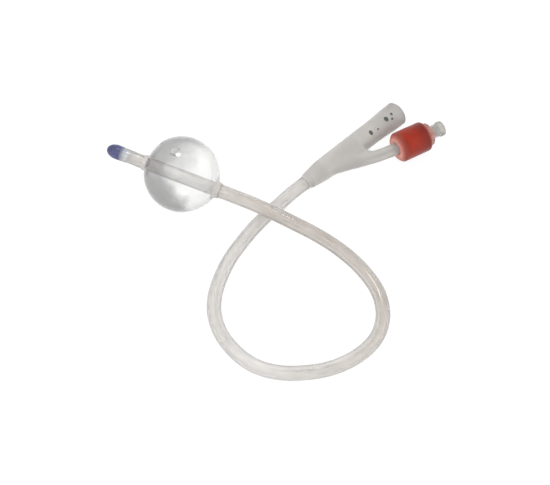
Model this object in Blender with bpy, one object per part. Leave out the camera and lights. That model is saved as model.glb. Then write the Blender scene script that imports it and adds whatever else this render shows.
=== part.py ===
"""A two-way silicone urinary catheter lying on a table, balloon inflated.

Metres, +Z up. The drainage funnel points along +X, the table is z = 0, and the
origin is under the middle of the Y hub and its inflation valve.
"""
import math

import bpy
import bmesh
import numpy as np
from mathutils import Matrix, Vector

# Shaft
TUBE_D = 0.0060
SHAFT_STEP = 2.0 * TUBE_D
BOND_GAP = 0.0003

# Tip, measured from the end of the shaft
TIP_LENGTH = 0.0083
TIP_SWELL = 0.00015
TIP_NOSE = 0.0048
TIP_END_ANGLE = math.radians(86.0)

# Balloon, centred on the shaft's straight stretch
BALLOON_D = 0.0324
BALLOON_WALL = 0.0004
BALLOON_LIFT = 0.0015
BALLOON_LIFT_SHARE = 0.625
BALLOON_X = -0.0744
BALLOON_Y = 0.0442
CUFF_LENGTH = 0.0016
CUFF_WALL = 0.00025
CUFF_GAP = 0.0002
CUFF_FILLET = 0.0012
CUFF_FILLET_LENGTH = 0.0011
SHAFT_PAST_BALLOON = 0.0265

# Direction of the shaft's straight stretch, from the balloon towards the tip
TIP_HEADING = math.radians(112.2)
TIP_RISE = math.radians(5.4)

# Y hub, measured from its neck along the drainage funnel
HUB_X = -0.03215
HUB_Y = 0.0099
HUB_LENGTH = 0.0573
NECK_WALL = 0.0004
BODY_D = 0.0095
BODY_X = 0.0080
CROTCH_D = 0.0101
CROTCH_X = 0.0296
FLARE_X = 0.0420
FLARE_D = 0.0102
MOUTH_LAND = 0.0053
MOUTH_D = 0.0113
LIP_ROUND = 0.0004
SOCKET_DEPTH = 0.0080
LUMEN_D = 0.0027
FUNNEL_BORE_X = 0.0280
FUNNEL_BORE_D = 0.0066
MOUTH_BORE_D = 0.0088
WEB_DIP = 0.42
WEB_DIP_WIDTH = 0.0022
HUB_BLEND = 0.0004
CROTCH_ROUND = 0.0014

# Inflation arm of the hub
ARM_D = 0.0054
ARM_BORE_D = 0.0010
ARM_START_X = 0.0092
ARM_START_Y = -0.0008
ARM_START_ANGLE = math.radians(-26.0)
ARM_START_PULL = 0.52
ARM_END_PULL = 0.29
ARM_BORE_START_Y = -0.00225
ARM_BORE_RUN_IN = 0.0005
ARM_BORE_MERGE = 0.35
ARM_INSERT = 0.0064

# Inflation valve, measured from the sleeve's inner end along the valve's axis
VALVE_X = 0.0400
VALVE_Y = -0.0151
VALVE_ANGLE = math.radians(-14.1)
SEAT_GAP = 0.00015
SLEEVE_D = 0.0136
SLEEVE_LENGTH = 0.0159
SLEEVE_CHAMFER = 0.0014
SLEEVE_WALL = 0.00225
HOUSING_WALL = 0.0012
FLANGE_RIM = 0.0009
FLANGE_LENGTH = 0.0011
CONE_LENGTH = 0.0020
PORT_LENGTH = 0.0084
PORT_D = 0.0060
PORT_LIP_D = 0.0069
PORT_LIP_LENGTH = 0.0022
LUER_MOUTH_D = 0.00427
LUER_TAPER = 0.06
LUER_DEPTH = 0.0066
THROAT_D = 0.0030
THROAT_LENGTH = 0.0014
END_DISC_LENGTH = 0.0012
BARB_TUBE_D = 0.0026
BARB_D = 0.0035
BARB_LENGTH = 0.0048
BARB_TAPER_LENGTH = 0.0022
BARB_BORE_D = 0.0014
BARB_END_GAP = 0.0004

# Plunger of the valve
STROKE = 0.0018
SYRINGE_REACH = 0.0058
NOSE_D = 0.0018
NOSE_EDGE = 0.0002
NOSE_SLOT = 0.0005
HEAD_FLOW_GAP = 0.0009
HEAD_LENGTH = 0.0009
TAIL_D = 0.0014
TAIL_LENGTH = 0.0016
SLIDE_GAP = 0.00008
SEAL_OVERLAP = 0.0007
SEAL_LENGTH = 0.0008
SPRING_D = 0.0030
SPRING_WIRE_D = 0.00035
SPRING_TURNS = 4.5

# Route of the shaft: straight out of the hub, the loop, straight through the balloon
EXIT_STRAIGHT = 0.0100
STRAIGHT_START = -0.0240
LOOP = [
    (-0.050, 0.0096, 0.0050),
    (-0.058, 0.0094, 0.0043),
    (-0.066, 0.0087, 0.0037),
    (-0.075, 0.0070, 0.0033),
    (-0.085, 0.0042, 0.0031),
    (-0.094, 0.0002, 0.0030),
    (-0.103, -0.0054, 0.0030),
    (-0.110, -0.0125, 0.0030),
    (-0.115, -0.0220, 0.0030),
    (-0.117, -0.0330, 0.0030),
    (-0.116, -0.0425, 0.0030),
    (-0.112, -0.0505, 0.0030),
    (-0.106, -0.0570, 0.0030),
    (-0.098, -0.0628, 0.0030),
    (-0.089, -0.0664, 0.0030),
    (-0.079, -0.0675, 0.0030),
    (-0.070, -0.0657, 0.0032),
    (-0.062, -0.0606, 0.0037),
    (-0.056, -0.0527, 0.0045),
    (-0.053, -0.0435, 0.0055),
    (-0.052, -0.0340, 0.0067),
    (-0.0525, -0.0245, 0.0079),
    (-0.054, -0.0155, 0.0089),
    (-0.0563, -0.0060, 0.0097),
    (-0.0588, 0.0035, 0.0104),
    (-0.0615, 0.0125, 0.0112),
]

HUB_Z = MOUTH_D / 2
VALVE_Z = SLEEVE_D / 2
SOCKET_D = TUBE_D + 2 * BOND_GAP
NECK_D = SOCKET_D + 2 * NECK_WALL
HOUSING_D = SLEEVE_D - 2 * (SLEEVE_WALL + SEAT_GAP)
CHAMBER_D = HOUSING_D - 2 * HOUSING_WALL
ROUND = 32


def material(name, colour, roughness, alpha=1.0, metallic=0.0):
    made = bpy.data.materials.new(name)
    made.use_nodes = True
    shader = made.node_tree.nodes["Principled BSDF"]
    shader.inputs["Base Color"].default_value = (*colour, 1.0)
    shader.inputs["Roughness"].default_value = roughness
    shader.inputs["Metallic"].default_value = metallic
    shader.inputs["Alpha"].default_value = alpha
    return made


def axis_empty(name, place, heading=0.0, rise=0.0):
    """An empty whose X axis is the axis of the pieces parented to it."""
    empty = bpy.data.objects.new(name, None)
    bpy.context.collection.objects.link(empty)
    turn = Matrix.Rotation(heading, 4, "Z") @ Matrix.Rotation(-rise, 4, "Y")
    empty.matrix_world = Matrix.Translation(place) @ turn
    return empty


def mesh_object(name, points, faces, look, parent=None, sharp=40.0):
    mesh = bpy.data.meshes.new(name)
    mesh.from_pydata([tuple(p) for p in points], [], faces)
    shape = bmesh.new()
    shape.from_mesh(mesh)
    bmesh.ops.recalc_face_normals(shape, faces=shape.faces)
    shape.to_mesh(mesh)
    shape.free()
    mesh.shade_smooth()
    mesh.set_sharp_from_angle(angle=math.radians(sharp))
    if look is not None:
        mesh.materials.append(look)
    made = bpy.data.objects.new(name, mesh)
    bpy.context.collection.objects.link(made)
    made.parent = parent
    return made


def bridge(first, second):
    """Quads between two rings of point numbers of the same count."""
    count = len(first)
    return [(first[i], first[(i + 1) % count], second[(i + 1) % count], second[i])
            for i in range(count)]


def turned(name, profile, look, parent=None, closed=False, sides=ROUND, drift=None):
    """A shape turned about the X axis from (x, radius) points.

    A closed profile makes a hollow piece. Otherwise its two ends are capped.
    drift moves each ring's centre by (y, z) as a function of its place.
    """
    points = []
    rings = []
    for x, radius in profile:
        dy, dz = drift(x, radius) if drift else (0.0, 0.0)
        ring = []
        for k in range(sides):
            angle = 2 * math.pi * k / sides
            ring.append(len(points))
            points.append((x, dy + radius * math.cos(angle), dz + radius * math.sin(angle)))
        rings.append(ring)
    faces = []
    for first, second in zip(rings, rings[1:]):
        faces += bridge(first, second)
    if closed:
        faces += bridge(rings[-1], rings[0])
    else:
        faces += [tuple(rings[0]), tuple(rings[-1])]
    return mesh_object(name, points, faces, look, parent)


def cut(target, cutter):
    """Take the cutter's shape out of the target and keep the cutter as a guide."""
    cutter.hide_render = True
    cutter.display_type = "WIRE"
    boolean = target.modifiers.new(cutter.name, "BOOLEAN")
    boolean.operation = "DIFFERENCE"
    boolean.solver = "EXACT"
    boolean.object = cutter


def smooth(route, step):
    """Points a fixed step apart on the smooth curve through the route's points."""
    route = np.array(route, dtype=float)
    ends = [2 * route[0] - route[1], 2 * route[-1] - route[-2]]
    knots = np.vstack([ends[0], route, ends[1]])
    fine = []
    for a, b, c, d in zip(knots, knots[1:], knots[2:], knots[3:]):
        for t in np.linspace(0.0, 1.0, 24, endpoint=False):
            fine.append(0.5 * (2 * b + (c - a) * t + (2 * a - 5 * b + 4 * c - d) * t ** 2
                               + (3 * b - a - 3 * c + d) * t ** 3))
    fine.append(route[-1])
    fine = np.array(fine)
    lengths = np.linalg.norm(np.diff(fine, axis=0), axis=1)
    along = np.concatenate([[0.0], np.cumsum(lengths)])
    places = np.linspace(0.0, along[-1], round(along[-1] / step) + 1)
    return np.array([np.interp(places, along, fine[:, k]) for k in range(3)]).T


# The straight stretch of the shaft, which carries the balloon and the tip

BALLOON_PLACE = Vector((BALLOON_X, BALLOON_Y,
                        BALLOON_D / 2 - BALLOON_LIFT * math.cos(TIP_RISE)))
TIP_DIRECTION = Vector((math.cos(TIP_HEADING) * math.cos(TIP_RISE),
                        math.sin(TIP_HEADING) * math.cos(TIP_RISE),
                        math.sin(TIP_RISE)))


def shaft_route():
    """From the bottom of the hub's socket, round the loop, to the tip's joint."""
    inside = HUB_X + SOCKET_DEPTH - BOND_GAP
    hub_end = [(x, HUB_Y, HUB_Z) for x in (inside, HUB_X, HUB_X - EXIT_STRAIGHT)]
    straight = np.linspace(STRAIGHT_START, SHAFT_PAST_BALLOON, 7)
    tip_end = [tuple(BALLOON_PLACE + TIP_DIRECTION * along) for along in straight]
    return hub_end + LOOP + tip_end


def make_shaft(look):
    curve = bpy.data.curves.new("shaft", "CURVE")
    curve.dimensions = "3D"
    curve.bevel_depth = TUBE_D / 2
    curve.bevel_resolution = 4
    curve.use_fill_caps = True
    points = smooth(shaft_route(), SHAFT_STEP)
    spline = curve.splines.new("POLY")
    spline.points.add(len(points) - 1)
    for point, place in zip(spline.points, points):
        point.co = (*place, 1.0)
    curve.materials.append(look)
    shaft = bpy.data.objects.new("shaft", curve)
    bpy.context.collection.objects.link(shaft)
    return shaft


def make_tip(look, axis):
    start = SHAFT_PAST_BALLOON + BOND_GAP
    radius = TUBE_D / 2 + TIP_SWELL
    shoulder = TIP_LENGTH - TIP_NOSE
    profile = [(start, TUBE_D / 2 - LIP_ROUND), (start + LIP_ROUND, TUBE_D / 2),
               (start + shoulder / 2, radius)]
    steps = 9
    for k in range(steps):
        angle = TIP_END_ANGLE * k / (steps - 1)
        profile.append((start + shoulder + TIP_NOSE * math.sin(angle),
                        radius * math.cos(angle)))
    return turned("tip", profile, look, axis)


def balloon_profile(radius, cuff_radius, steps):
    """Half of a balloon's wall, from the middle of one side to its cuff's end."""
    cuff_end = BALLOON_D / 2 + CUFF_LENGTH
    last = math.asin((cuff_radius + CUFF_FILLET) / radius)
    half = []
    for k in range(steps + 1):
        angle = math.pi / 2 + (last - math.pi / 2) * k / steps
        half.append((radius * math.cos(angle), radius * math.sin(angle)))
    foot = half[-1][0] + CUFF_FILLET_LENGTH
    half.append(((half[-1][0] + foot) / 2, cuff_radius + CUFF_FILLET / 3))
    half.append((foot, cuff_radius))
    half.append((cuff_end, cuff_radius))
    return half


def make_balloon(look, axis):
    inner_cuff = TUBE_D / 2 + CUFF_GAP
    outer = balloon_profile(BALLOON_D / 2, inner_cuff + CUFF_WALL, 9)
    inner = balloon_profile(BALLOON_D / 2 - BALLOON_WALL, inner_cuff, 9)
    outer = [(-x, r) for x, r in reversed(outer[1:])] + outer
    inner = [(-x, r) for x, r in reversed(inner[1:])] + inner
    span = BALLOON_D / 2 - inner_cuff - CUFF_WALL

    def drift(x, radius):
        share = max(0.0, (radius - inner_cuff - CUFF_WALL) / span)
        return 0.0, BALLOON_LIFT * min(1.0, share / BALLOON_LIFT_SHARE)

    return turned("balloon", outer + inner[::-1], look, axis, closed=True, drift=drift)


# The Y hub

def funnel_radius(x):
    places = [0.0, LIP_ROUND, BODY_X / 2, BODY_X, CROTCH_X, FLARE_X,
              HUB_LENGTH - MOUTH_LAND, HUB_LENGTH - LIP_ROUND, HUB_LENGTH]
    widths = [NECK_D - NECK_WALL, NECK_D, (NECK_D + BODY_D) / 2, BODY_D, CROTCH_D, FLARE_D,
              MOUTH_D, MOUTH_D, MOUTH_D - 2 * LIP_ROUND]
    return float(np.interp(x, places, widths)) / 2


def arm_point(t):
    """The inflation arm's axis: a Bezier curve, then straight along the valve."""
    start = Vector((ARM_START_X, ARM_START_Y, 0.0))
    end = Vector((VALVE_X, VALVE_Y, VALVE_Z - HUB_Z))
    leave = Vector((math.cos(ARM_START_ANGLE), math.sin(ARM_START_ANGLE), 0.0))
    arrive = Vector((math.cos(VALVE_ANGLE), math.sin(VALVE_ANGLE), 0.0))
    reach = (end - start).length
    if t > 1.0:
        return end + arrive * (t - 1.0) * ARM_INSERT
    first = start + leave * reach * ARM_START_PULL
    second = end - arrive * reach * ARM_END_PULL
    return (start * (1 - t) ** 3 + first * 3 * t * (1 - t) ** 2
            + second * 3 * t ** 2 * (1 - t) + end * t ** 3)


def arm_at(x):
    """Where on its axis the arm crosses a plane of constant x."""
    low, high = 0.0, 1.0
    for _ in range(40):
        middle = (low + high) / 2
        if arm_point(middle).x < x:
            low = middle
        else:
            high = middle
    return low


def arm_turn(t, step=0.01):
    """The arm's heading in plan."""
    ahead = arm_point(t + step) - arm_point(max(t - step, 0.0))
    return math.atan2(ahead.y, ahead.x)


def web_line(x):
    """The y at which the funnel's side of the hub meets the arm's side."""
    t = arm_at(CROTCH_X)
    near = arm_point(t).y + ARM_D / 2 / math.cos(arm_turn(t))
    return (near - funnel_radius(CROTCH_X)) / 2 * min(x / CROTCH_X, 1.0)


def spread(points, count):
    """The same outline with evenly spaced points."""
    points = np.array(points)
    lengths = np.linalg.norm(np.diff(points, axis=0), axis=1)
    along = np.concatenate([[0.0], np.cumsum(lengths)])
    places = np.linspace(0.0, along[-1], count + 1)
    return [(float(np.interp(p, along, points[:, 0])), float(np.interp(p, along, points[:, 1])))
            for p in places]


def hub_outline(x, angles):
    """The (y, z) points of the hub's outline whose normals have these angles.

    The funnel and the arm are two rounds, and the skin over both is the soft
    maximum of how far each reaches.
    """
    c, s = np.cos(angles), np.sin(angles)
    wide = funnel_radius(x)
    t = arm_at(x)
    place = arm_point(t)
    thin = ARM_D / 2 * min(x / ARM_START_X, 1.0)
    stretch = 1.0 / math.cos(arm_turn(t))
    size = np.hypot(c * stretch, s)
    arm_y = place.y + thin * c * stretch ** 2 / size
    arm_z = place.z + thin * s / size
    arm_reach = arm_y * c + arm_z * s
    lead = (arm_reach - wide) / HUB_BLEND
    share = 1.0 / (1.0 + np.exp(-lead))
    reach = np.maximum(wide, arm_reach) + HUB_BLEND * np.log1p(np.exp(-np.abs(lead)))
    proud = reach - wide * (1 - share) - arm_reach * share
    return np.array([wide * c * (1 - share) + arm_y * share + proud * c,
                     wide * s * (1 - share) + arm_z * share + proud * s]).T


def joined_section(x, funnel_count, arm_count):
    """The hub's outline in two halves, each from the top of the web to its bottom."""
    split = web_line(x)
    half_turn = np.linspace(0.0, math.pi, 361)
    top = np.interp(-split, -hub_outline(x, half_turn)[:, 0], half_turn)
    low = np.interp(-split, -hub_outline(x, -half_turn)[:, 0], half_turn)
    dip = WEB_DIP * max((x - ARM_START_X) / (CROTCH_X - ARM_START_X), 0.0) ** 2
    halves = []
    for end, count in ((-low, funnel_count), (2 * math.pi - low, arm_count)):
        half = spread(hub_outline(x, np.linspace(top, end, 361)), count)
        halves.append([(y, z * (1 - dip * math.exp(-((y - split) / WEB_DIP_WIDTH) ** 2)))
                       for y, z in half])
    return halves


def make_hub(look, axis):
    """One skin that forks: joined sections up to the crotch, then two branches."""
    funnel_count, arm_count, web_count = 18, 12, 3
    joined = [0.0, LIP_ROUND, BODY_X / 4, BODY_X / 2, BODY_X]
    joined += list(np.linspace(BODY_X, CROTCH_X, 13)[1:])
    points = []
    faces = []

    def add(places):
        numbers = list(range(len(points), len(points) + len(places)))
        points.extend(places)
        return numbers

    last = None
    for x in joined:
        funnel_half, arm_half = joined_section(x, funnel_count, arm_count)
        places = [(x, y, z) for y, z in funnel_half]
        places += [(x, y, z) for y, z in arm_half[-2:0:-1]]
        ring = add(places)
        if last is None:
            faces.append(tuple(ring))
        else:
            faces += bridge(last, ring)
        last = ring

    # The crotch: a short column of points parts the last ring in two
    top, low = points[last[0]], points[last[funnel_count]]
    column = add([tuple(np.array(low) + (np.array(top) - np.array(low)) * k / (web_count + 1))
                  for k in range(1, web_count + 1)])
    funnel_ring = last[:funnel_count + 1] + column
    arm_ring = [last[0]] + last[:funnel_count - 1:-1][:arm_count - 1] + [last[funnel_count]] + column

    quarter = np.radians([18, 36, 54, 72, 90])
    blends = [(CROTCH_ROUND * (1 - math.cos(a)), math.sin(a)) for a in quarter]
    land = HUB_LENGTH - MOUTH_LAND
    total = funnel_count + web_count + 1
    first_angle = math.pi * funnel_count / total
    start = [np.array(points[k]) for k in funnel_ring]
    stations = [(CROTCH_X + dx, share) for dx, share in blends]
    stations += [(x, 1.0) for x in (FLARE_X, land, HUB_LENGTH - LIP_ROUND, HUB_LENGTH)]
    ring = funnel_ring
    for x, share in stations:
        radius = funnel_radius(x)
        places = []
        for k, old in enumerate(start):
            angle = first_angle - 2 * math.pi * k / total
            new = np.array((x, radius * math.cos(angle), radius * math.sin(angle)))
            old = np.array((x, old[1], old[2]))
            places.append(tuple(old + (new - old) * share))
        following = add(places)
        faces += bridge(ring, following)
        ring = following
    faces.append(tuple(ring))

    total = arm_count + web_count + 1
    first_angle = math.pi * arm_count / total
    start = [np.array(points[k]) for k in arm_ring]
    stations = [(arm_at(CROTCH_X + dx), share) for dx, share in blends]
    stations += [(t, 1.0) for t in (*np.linspace(stations[-1][0], 1.0, 4)[1:], 1.5, 2.0)]
    ring = arm_ring
    for t, share in stations:
        middle = arm_point(t)
        heading = arm_turn(t) * share
        places = []
        for k, old in enumerate(start):
            angle = first_angle - 2 * math.pi * k / total
            side = -ARM_D / 2 * math.cos(angle)
            new = np.array((middle.x - side * math.sin(heading),
                            middle.y + side * math.cos(heading),
                            middle.z + ARM_D / 2 * math.sin(angle)))
            old = np.array((middle.x, old[1] + middle.y - arm_point(arm_at(CROTCH_X)).y, old[2]))
            places.append(tuple(old + (new - old) * share))
        following = add(places)
        faces += bridge(ring, following)
        ring = following
    faces.append(tuple(ring))
    hub = mesh_object("hub", points, faces, look, axis)

    beyond = BOND_GAP
    grow = (MOUTH_BORE_D - FUNNEL_BORE_D) / 2 / (HUB_LENGTH - FUNNEL_BORE_X)
    socket = SOCKET_D / 2
    cut(hub, turned("drain_bore", [
        (-beyond, socket), (SOCKET_DEPTH, socket), (SOCKET_DEPTH, LUMEN_D / 2),
        (FUNNEL_BORE_X, FUNNEL_BORE_D / 2),
        (HUB_LENGTH + beyond, MOUTH_BORE_D / 2 + grow * beyond)], None, axis))
    cut(hub, make_arm_bore(axis))
    return hub


def make_arm_bore(axis):
    """The inflation channel, from the socket to the seat of the valve's barb."""
    inner_end = Vector((SOCKET_DEPTH - ARM_BORE_RUN_IN, ARM_BORE_START_Y, 0.0))
    offset = inner_end - arm_point(0.0)
    barb_seat = 2.0 - (BARB_LENGTH + BARB_END_GAP) / ARM_INSERT
    stations = [(t, ARM_BORE_D / 2) for t in (0.0, 0.1, 0.2, 0.3, 0.4, 0.55, 0.7, 0.85, 1.0)]
    stations += [(barb_seat, ARM_BORE_D / 2), (barb_seat, BARB_D / 2 + SEAT_GAP),
                 (2.2, BARB_D / 2 + SEAT_GAP)]
    sides = 12
    points = []
    rings = []
    for t, radius in stations:
        left = max(0.0, 1.0 - t / ARM_BORE_MERGE)
        middle = arm_point(t) + offset * left * left * (3 - 2 * left)
        heading = arm_turn(t) * (1 - left)
        ring = []
        for k in range(sides):
            angle = 2 * math.pi * k / sides
            side = radius * math.cos(angle)
            ring.append(len(points))
            points.append((middle.x - side * math.sin(heading),
                           middle.y + side * math.cos(heading),
                           middle.z + radius * math.sin(angle)))
        rings.append(ring)
    faces = [tuple(rings[0]), tuple(rings[-1])]
    for first, second in zip(rings, rings[1:]):
        faces += bridge(first, second)
    return mesh_object("arm_bore", points, faces, None, axis)


# The inflation valve

PORT_END = SLEEVE_LENGTH + PORT_LENGTH
LUER_END = PORT_END - LUER_DEPTH
CHAMBER_END = LUER_END - THROAT_LENGTH
SEAL_START = CHAMBER_END - SLIDE_GAP - SEAL_LENGTH
HEAD_START = SEAL_START - SLIDE_GAP - HEAD_LENGTH


def make_sleeve(look, axis):
    outer = SLEEVE_D / 2
    arm_bore = ARM_D / 2 + BOND_GAP
    housing_bore = HOUSING_D / 2 + SEAT_GAP
    step = ARM_INSERT
    profile = [
        (0.0, arm_bore), (0.0, outer - SLEEVE_CHAMFER), (SLEEVE_CHAMFER, outer),
        (SLEEVE_LENGTH - SLEEVE_CHAMFER, outer), (SLEEVE_LENGTH, outer - SLEEVE_CHAMFER),
        (SLEEVE_LENGTH, housing_bore), (step, housing_bore), (step, arm_bore)]
    return turned("valve_sleeve", profile, look, axis, closed=True)


def make_housing(look, axis):
    body = HOUSING_D / 2
    chamber = CHAMBER_D / 2
    flange_r = body + FLANGE_RIM
    flange = SLEEVE_LENGTH + SEAT_GAP
    cone = flange + FLANGE_LENGTH
    neck = cone + CONE_LENGTH
    lip = PORT_END - PORT_LIP_LENGTH
    edge = LIP_ROUND
    bottom_r = LUER_MOUTH_D / 2 - LUER_TAPER * LUER_DEPTH / 2
    start = ARM_INSERT + SEAT_GAP
    profile = [
        (start, chamber), (start, body), (flange, body), (flange, flange_r),
        (cone, flange_r), (neck, PORT_D / 2), (lip, PORT_D / 2),
        (lip + edge, PORT_LIP_D / 2), (PORT_END - edge, PORT_LIP_D / 2),
        (PORT_END, PORT_LIP_D / 2 - edge), (PORT_END, LUER_MOUTH_D / 2),
        (LUER_END, bottom_r), (LUER_END, THROAT_D / 2), (CHAMBER_END, THROAT_D / 2),
        (CHAMBER_END, chamber)]
    return turned("valve_housing", profile, look, axis, closed=True)


def make_end_fitting(look, axis):
    disc_start = ARM_INSERT + SEAT_GAP
    disc_end = disc_start + END_DISC_LENGTH
    barb_end = ARM_INSERT - BARB_LENGTH
    barb_back = barb_end + BARB_TAPER_LENGTH
    bore = BARB_BORE_D / 2
    disc = CHAMBER_D / 2 - SEAT_GAP
    profile = [
        (barb_end, bore), (barb_end, BARB_TUBE_D / 2), (barb_back, BARB_D / 2),
        (barb_back, BARB_TUBE_D / 2), (disc_start, BARB_TUBE_D / 2), (disc_start, disc),
        (disc_end, disc), (disc_end, bore)]
    return turned("valve_end", profile, look, axis, closed=True, sides=24)


def make_stem(look, axis):
    nose_end = PORT_END - SYRINGE_REACH + STROKE
    tail_end = HEAD_START - TAIL_LENGTH
    nose = NOSE_D / 2
    head = CHAMBER_D / 2 - HEAD_FLOW_GAP
    profile = [
        (tail_end, TAIL_D / 2), (HEAD_START, TAIL_D / 2), (HEAD_START, head),
        (HEAD_START + HEAD_LENGTH, head), (HEAD_START + HEAD_LENGTH, nose),
        (nose_end - NOSE_EDGE, nose), (nose_end, nose - NOSE_EDGE)]
    stem = turned("valve_stem", profile, look, axis, sides=24)
    for name, turn in (("nose_slot", 0.0), ("nose_cross_slot", math.pi / 2)):
        half = NOSE_SLOT / 2
        depth = 2 * NOSE_SLOT
        corners = [(x, y, z) for x in (nose_end - depth, nose_end + depth)
                   for y in (-half, half) for z in (-NOSE_D, NOSE_D)]
        faces = [(0, 1, 3, 2), (4, 6, 7, 5), (0, 4, 5, 1), (2, 3, 7, 6), (0, 2, 6, 4), (1, 5, 7, 3)]
        turned_corners = [Matrix.Rotation(turn, 3, "X") @ Vector(p) for p in corners]
        cut(stem, mesh_object(name, turned_corners, faces, None, axis))
    return stem


def make_seal(look, axis):
    inner = NOSE_D / 2 + SLIDE_GAP
    outer = THROAT_D / 2 + SEAL_OVERLAP
    end = SEAL_START + SEAL_LENGTH
    edge = SEAL_LENGTH / 4
    profile = [
        (SEAL_START, inner), (SEAL_START, outer - edge), (SEAL_START + edge, outer),
        (end - edge, outer), (end, outer - edge), (end, inner)]
    return turned("valve_seal", profile, look, axis, closed=True, sides=24)


def make_spring(look, axis):
    wire = SPRING_WIRE_D / 2
    first = ARM_INSERT + SEAT_GAP + END_DISC_LENGTH + SLIDE_GAP + wire
    last = HEAD_START - SLIDE_GAP - wire
    steps = round(SPRING_TURNS * 14)
    sides = 6
    middle_r = SPRING_D / 2 - wire
    points = []
    rings = []
    for k in range(steps + 1):
        share = k / steps
        turn = 2 * math.pi * SPRING_TURNS * share
        x = first + (last - first) * share
        out = Vector((0.0, math.cos(turn), math.sin(turn)))
        ring = []
        for j in range(sides):
            angle = 2 * math.pi * j / sides
            place = Vector((x + wire * math.sin(angle), 0.0, 0.0))
            place += out * (middle_r + wire * math.cos(angle))
            ring.append(len(points))
            points.append(tuple(place))
        rings.append(ring)
    faces = [tuple(rings[0]), tuple(rings[-1])]
    for a, b in zip(rings, rings[1:]):
        faces += bridge(a, b)
    return mesh_object("valve_spring", points, faces, look, axis)


def main():
    for old in list(bpy.data.objects):
        bpy.data.objects.remove(old, do_unlink=True)

    tube = material("clear_silicone", (0.80, 0.77, 0.74), 0.35, alpha=0.75)
    thin = material("balloon_silicone", (0.86, 0.87, 0.88), 0.15, alpha=0.35)
    frosted = material("frosted_silicone", (0.70, 0.68, 0.66), 0.45, alpha=0.85)
    blue = material("blue_silicone", (0.075, 0.085, 0.24), 0.4)
    red = material("red_plastic", (0.62, 0.055, 0.030), 0.35)
    clear = material("clear_plastic", (0.80, 0.78, 0.76), 0.2, alpha=0.6)
    white = material("white_plastic", (0.85, 0.85, 0.83), 0.35)
    dark = material("seal_rubber", (0.05, 0.05, 0.05), 0.6)
    steel = material("spring_steel", (0.62, 0.62, 0.60), 0.3, metallic=1.0)

    make_shaft(tube)
    tip_axis = axis_empty("tip_axis", BALLOON_PLACE, TIP_HEADING, TIP_RISE)
    make_tip(blue, tip_axis)
    make_balloon(thin, tip_axis)

    hub_axis = axis_empty("hub_axis", (HUB_X, HUB_Y, HUB_Z))
    make_hub(frosted, hub_axis)

    valve_axis = axis_empty("valve_axis", (HUB_X + VALVE_X, HUB_Y + VALVE_Y, VALVE_Z), VALVE_ANGLE)
    make_sleeve(red, valve_axis)
    make_housing(clear, valve_axis)
    make_end_fitting(white, valve_axis)
    make_stem(white, valve_axis)
    make_seal(dark, valve_axis)
    make_spring(steel, valve_axis)


main()
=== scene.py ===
"""The looks of a two-way silicone balloon catheter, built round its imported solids."""

import math

import bmesh
import bpy
import numpy as np
from bpy.props import FloatProperty, FloatVectorProperty, IntProperty, PointerProperty
from mathutils import Matrix, Vector
from mathutils.geometry import tessellate_polygon


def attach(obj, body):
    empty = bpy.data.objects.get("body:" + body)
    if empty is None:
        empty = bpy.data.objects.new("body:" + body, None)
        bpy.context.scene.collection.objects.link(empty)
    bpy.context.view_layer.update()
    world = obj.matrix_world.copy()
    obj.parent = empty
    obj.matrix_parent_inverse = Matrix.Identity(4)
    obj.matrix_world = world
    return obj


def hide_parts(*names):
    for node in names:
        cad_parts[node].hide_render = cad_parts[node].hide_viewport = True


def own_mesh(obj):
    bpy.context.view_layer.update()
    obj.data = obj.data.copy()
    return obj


bl_info = {
    "name": "Balloon Catheter Looks",
    "version": (1, 0, 0),
    "blender": (4, 5, 0),
    "location": "3D View > Sidebar > Catheter",
    "description": "Tube, tip, balloon, hub and inflation valve of a two-way catheter",
    "category": "Object",
}

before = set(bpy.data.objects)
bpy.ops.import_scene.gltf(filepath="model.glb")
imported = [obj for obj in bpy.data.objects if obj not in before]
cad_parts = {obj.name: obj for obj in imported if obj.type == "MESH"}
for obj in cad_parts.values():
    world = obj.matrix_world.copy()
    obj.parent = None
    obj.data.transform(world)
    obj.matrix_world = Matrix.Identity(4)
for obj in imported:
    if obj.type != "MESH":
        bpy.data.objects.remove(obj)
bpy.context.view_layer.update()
BODY = "catheter"
PLUNGER = "plunger"

# Sizes of the solids, in metres
TUBE_R = 0.0030
BOND_GAP = 0.0003
TIP_LENGTH = 0.0083
TIP_SWELL = 0.00015
TIP_NOSE = 0.0048
BALLOON_R = 0.0162
BALLOON_WALL = 0.0004
BALLOON_LIFT = 0.0015
BALLOON_LIFT_SHARE = 0.625
CUFF_LENGTH = 0.0016
CUFF_GAP = 0.0002
CUFF_WALL = 0.00025
CUFF_FILLET = 0.0012
CUFF_FILLET_LENGTH = 0.0011
TIP_JOINT = 0.0265
TIP_HEADING = math.radians(112.2)
TIP_RISE = math.radians(5.4)

HUB_PLACE = Vector((-0.03215, 0.0099, 0.00565))
HUB_LENGTH = 0.0573
NECK_R = 0.0037
NECK_WALL = 0.0004
BODY_R = 0.00475
BODY_X = 0.0080
CROTCH_R = 0.00505
CROTCH_X = 0.0296
FLARE_X = 0.0420
FLARE_R = 0.0051
MOUTH_LAND = 0.0053
MOUTH_R = 0.00565
LIP_ROUND = 0.0004
SOCKET_DEPTH = 0.0080
SOCKET_R = 0.0033
LUMEN_R = 0.00135
FUNNEL_BORE_X = 0.0280
FUNNEL_BORE_R = 0.0033
MOUTH_BORE_R = 0.0044
WEB_DIP = 0.42
WEB_DIP_WIDTH = 0.0022
HUB_BLEND = 0.0004
CROTCH_ROUND = 0.0014

ARM_R = 0.0027
ARM_BORE_R = 0.0005
ARM_START = Vector((0.0092, -0.0008, 0.0))
ARM_START_ANGLE = math.radians(-26.0)
ARM_START_PULL = 0.52
ARM_END_PULL = 0.29
ARM_BORE_START_Y = -0.00225
ARM_BORE_RUN_IN = 0.0005
ARM_BORE_MERGE = 0.35
ARM_INSERT = 0.0064
ARM_TURN_LENGTH = 0.0070
ARM_STEADY_FROM = 0.85

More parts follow.
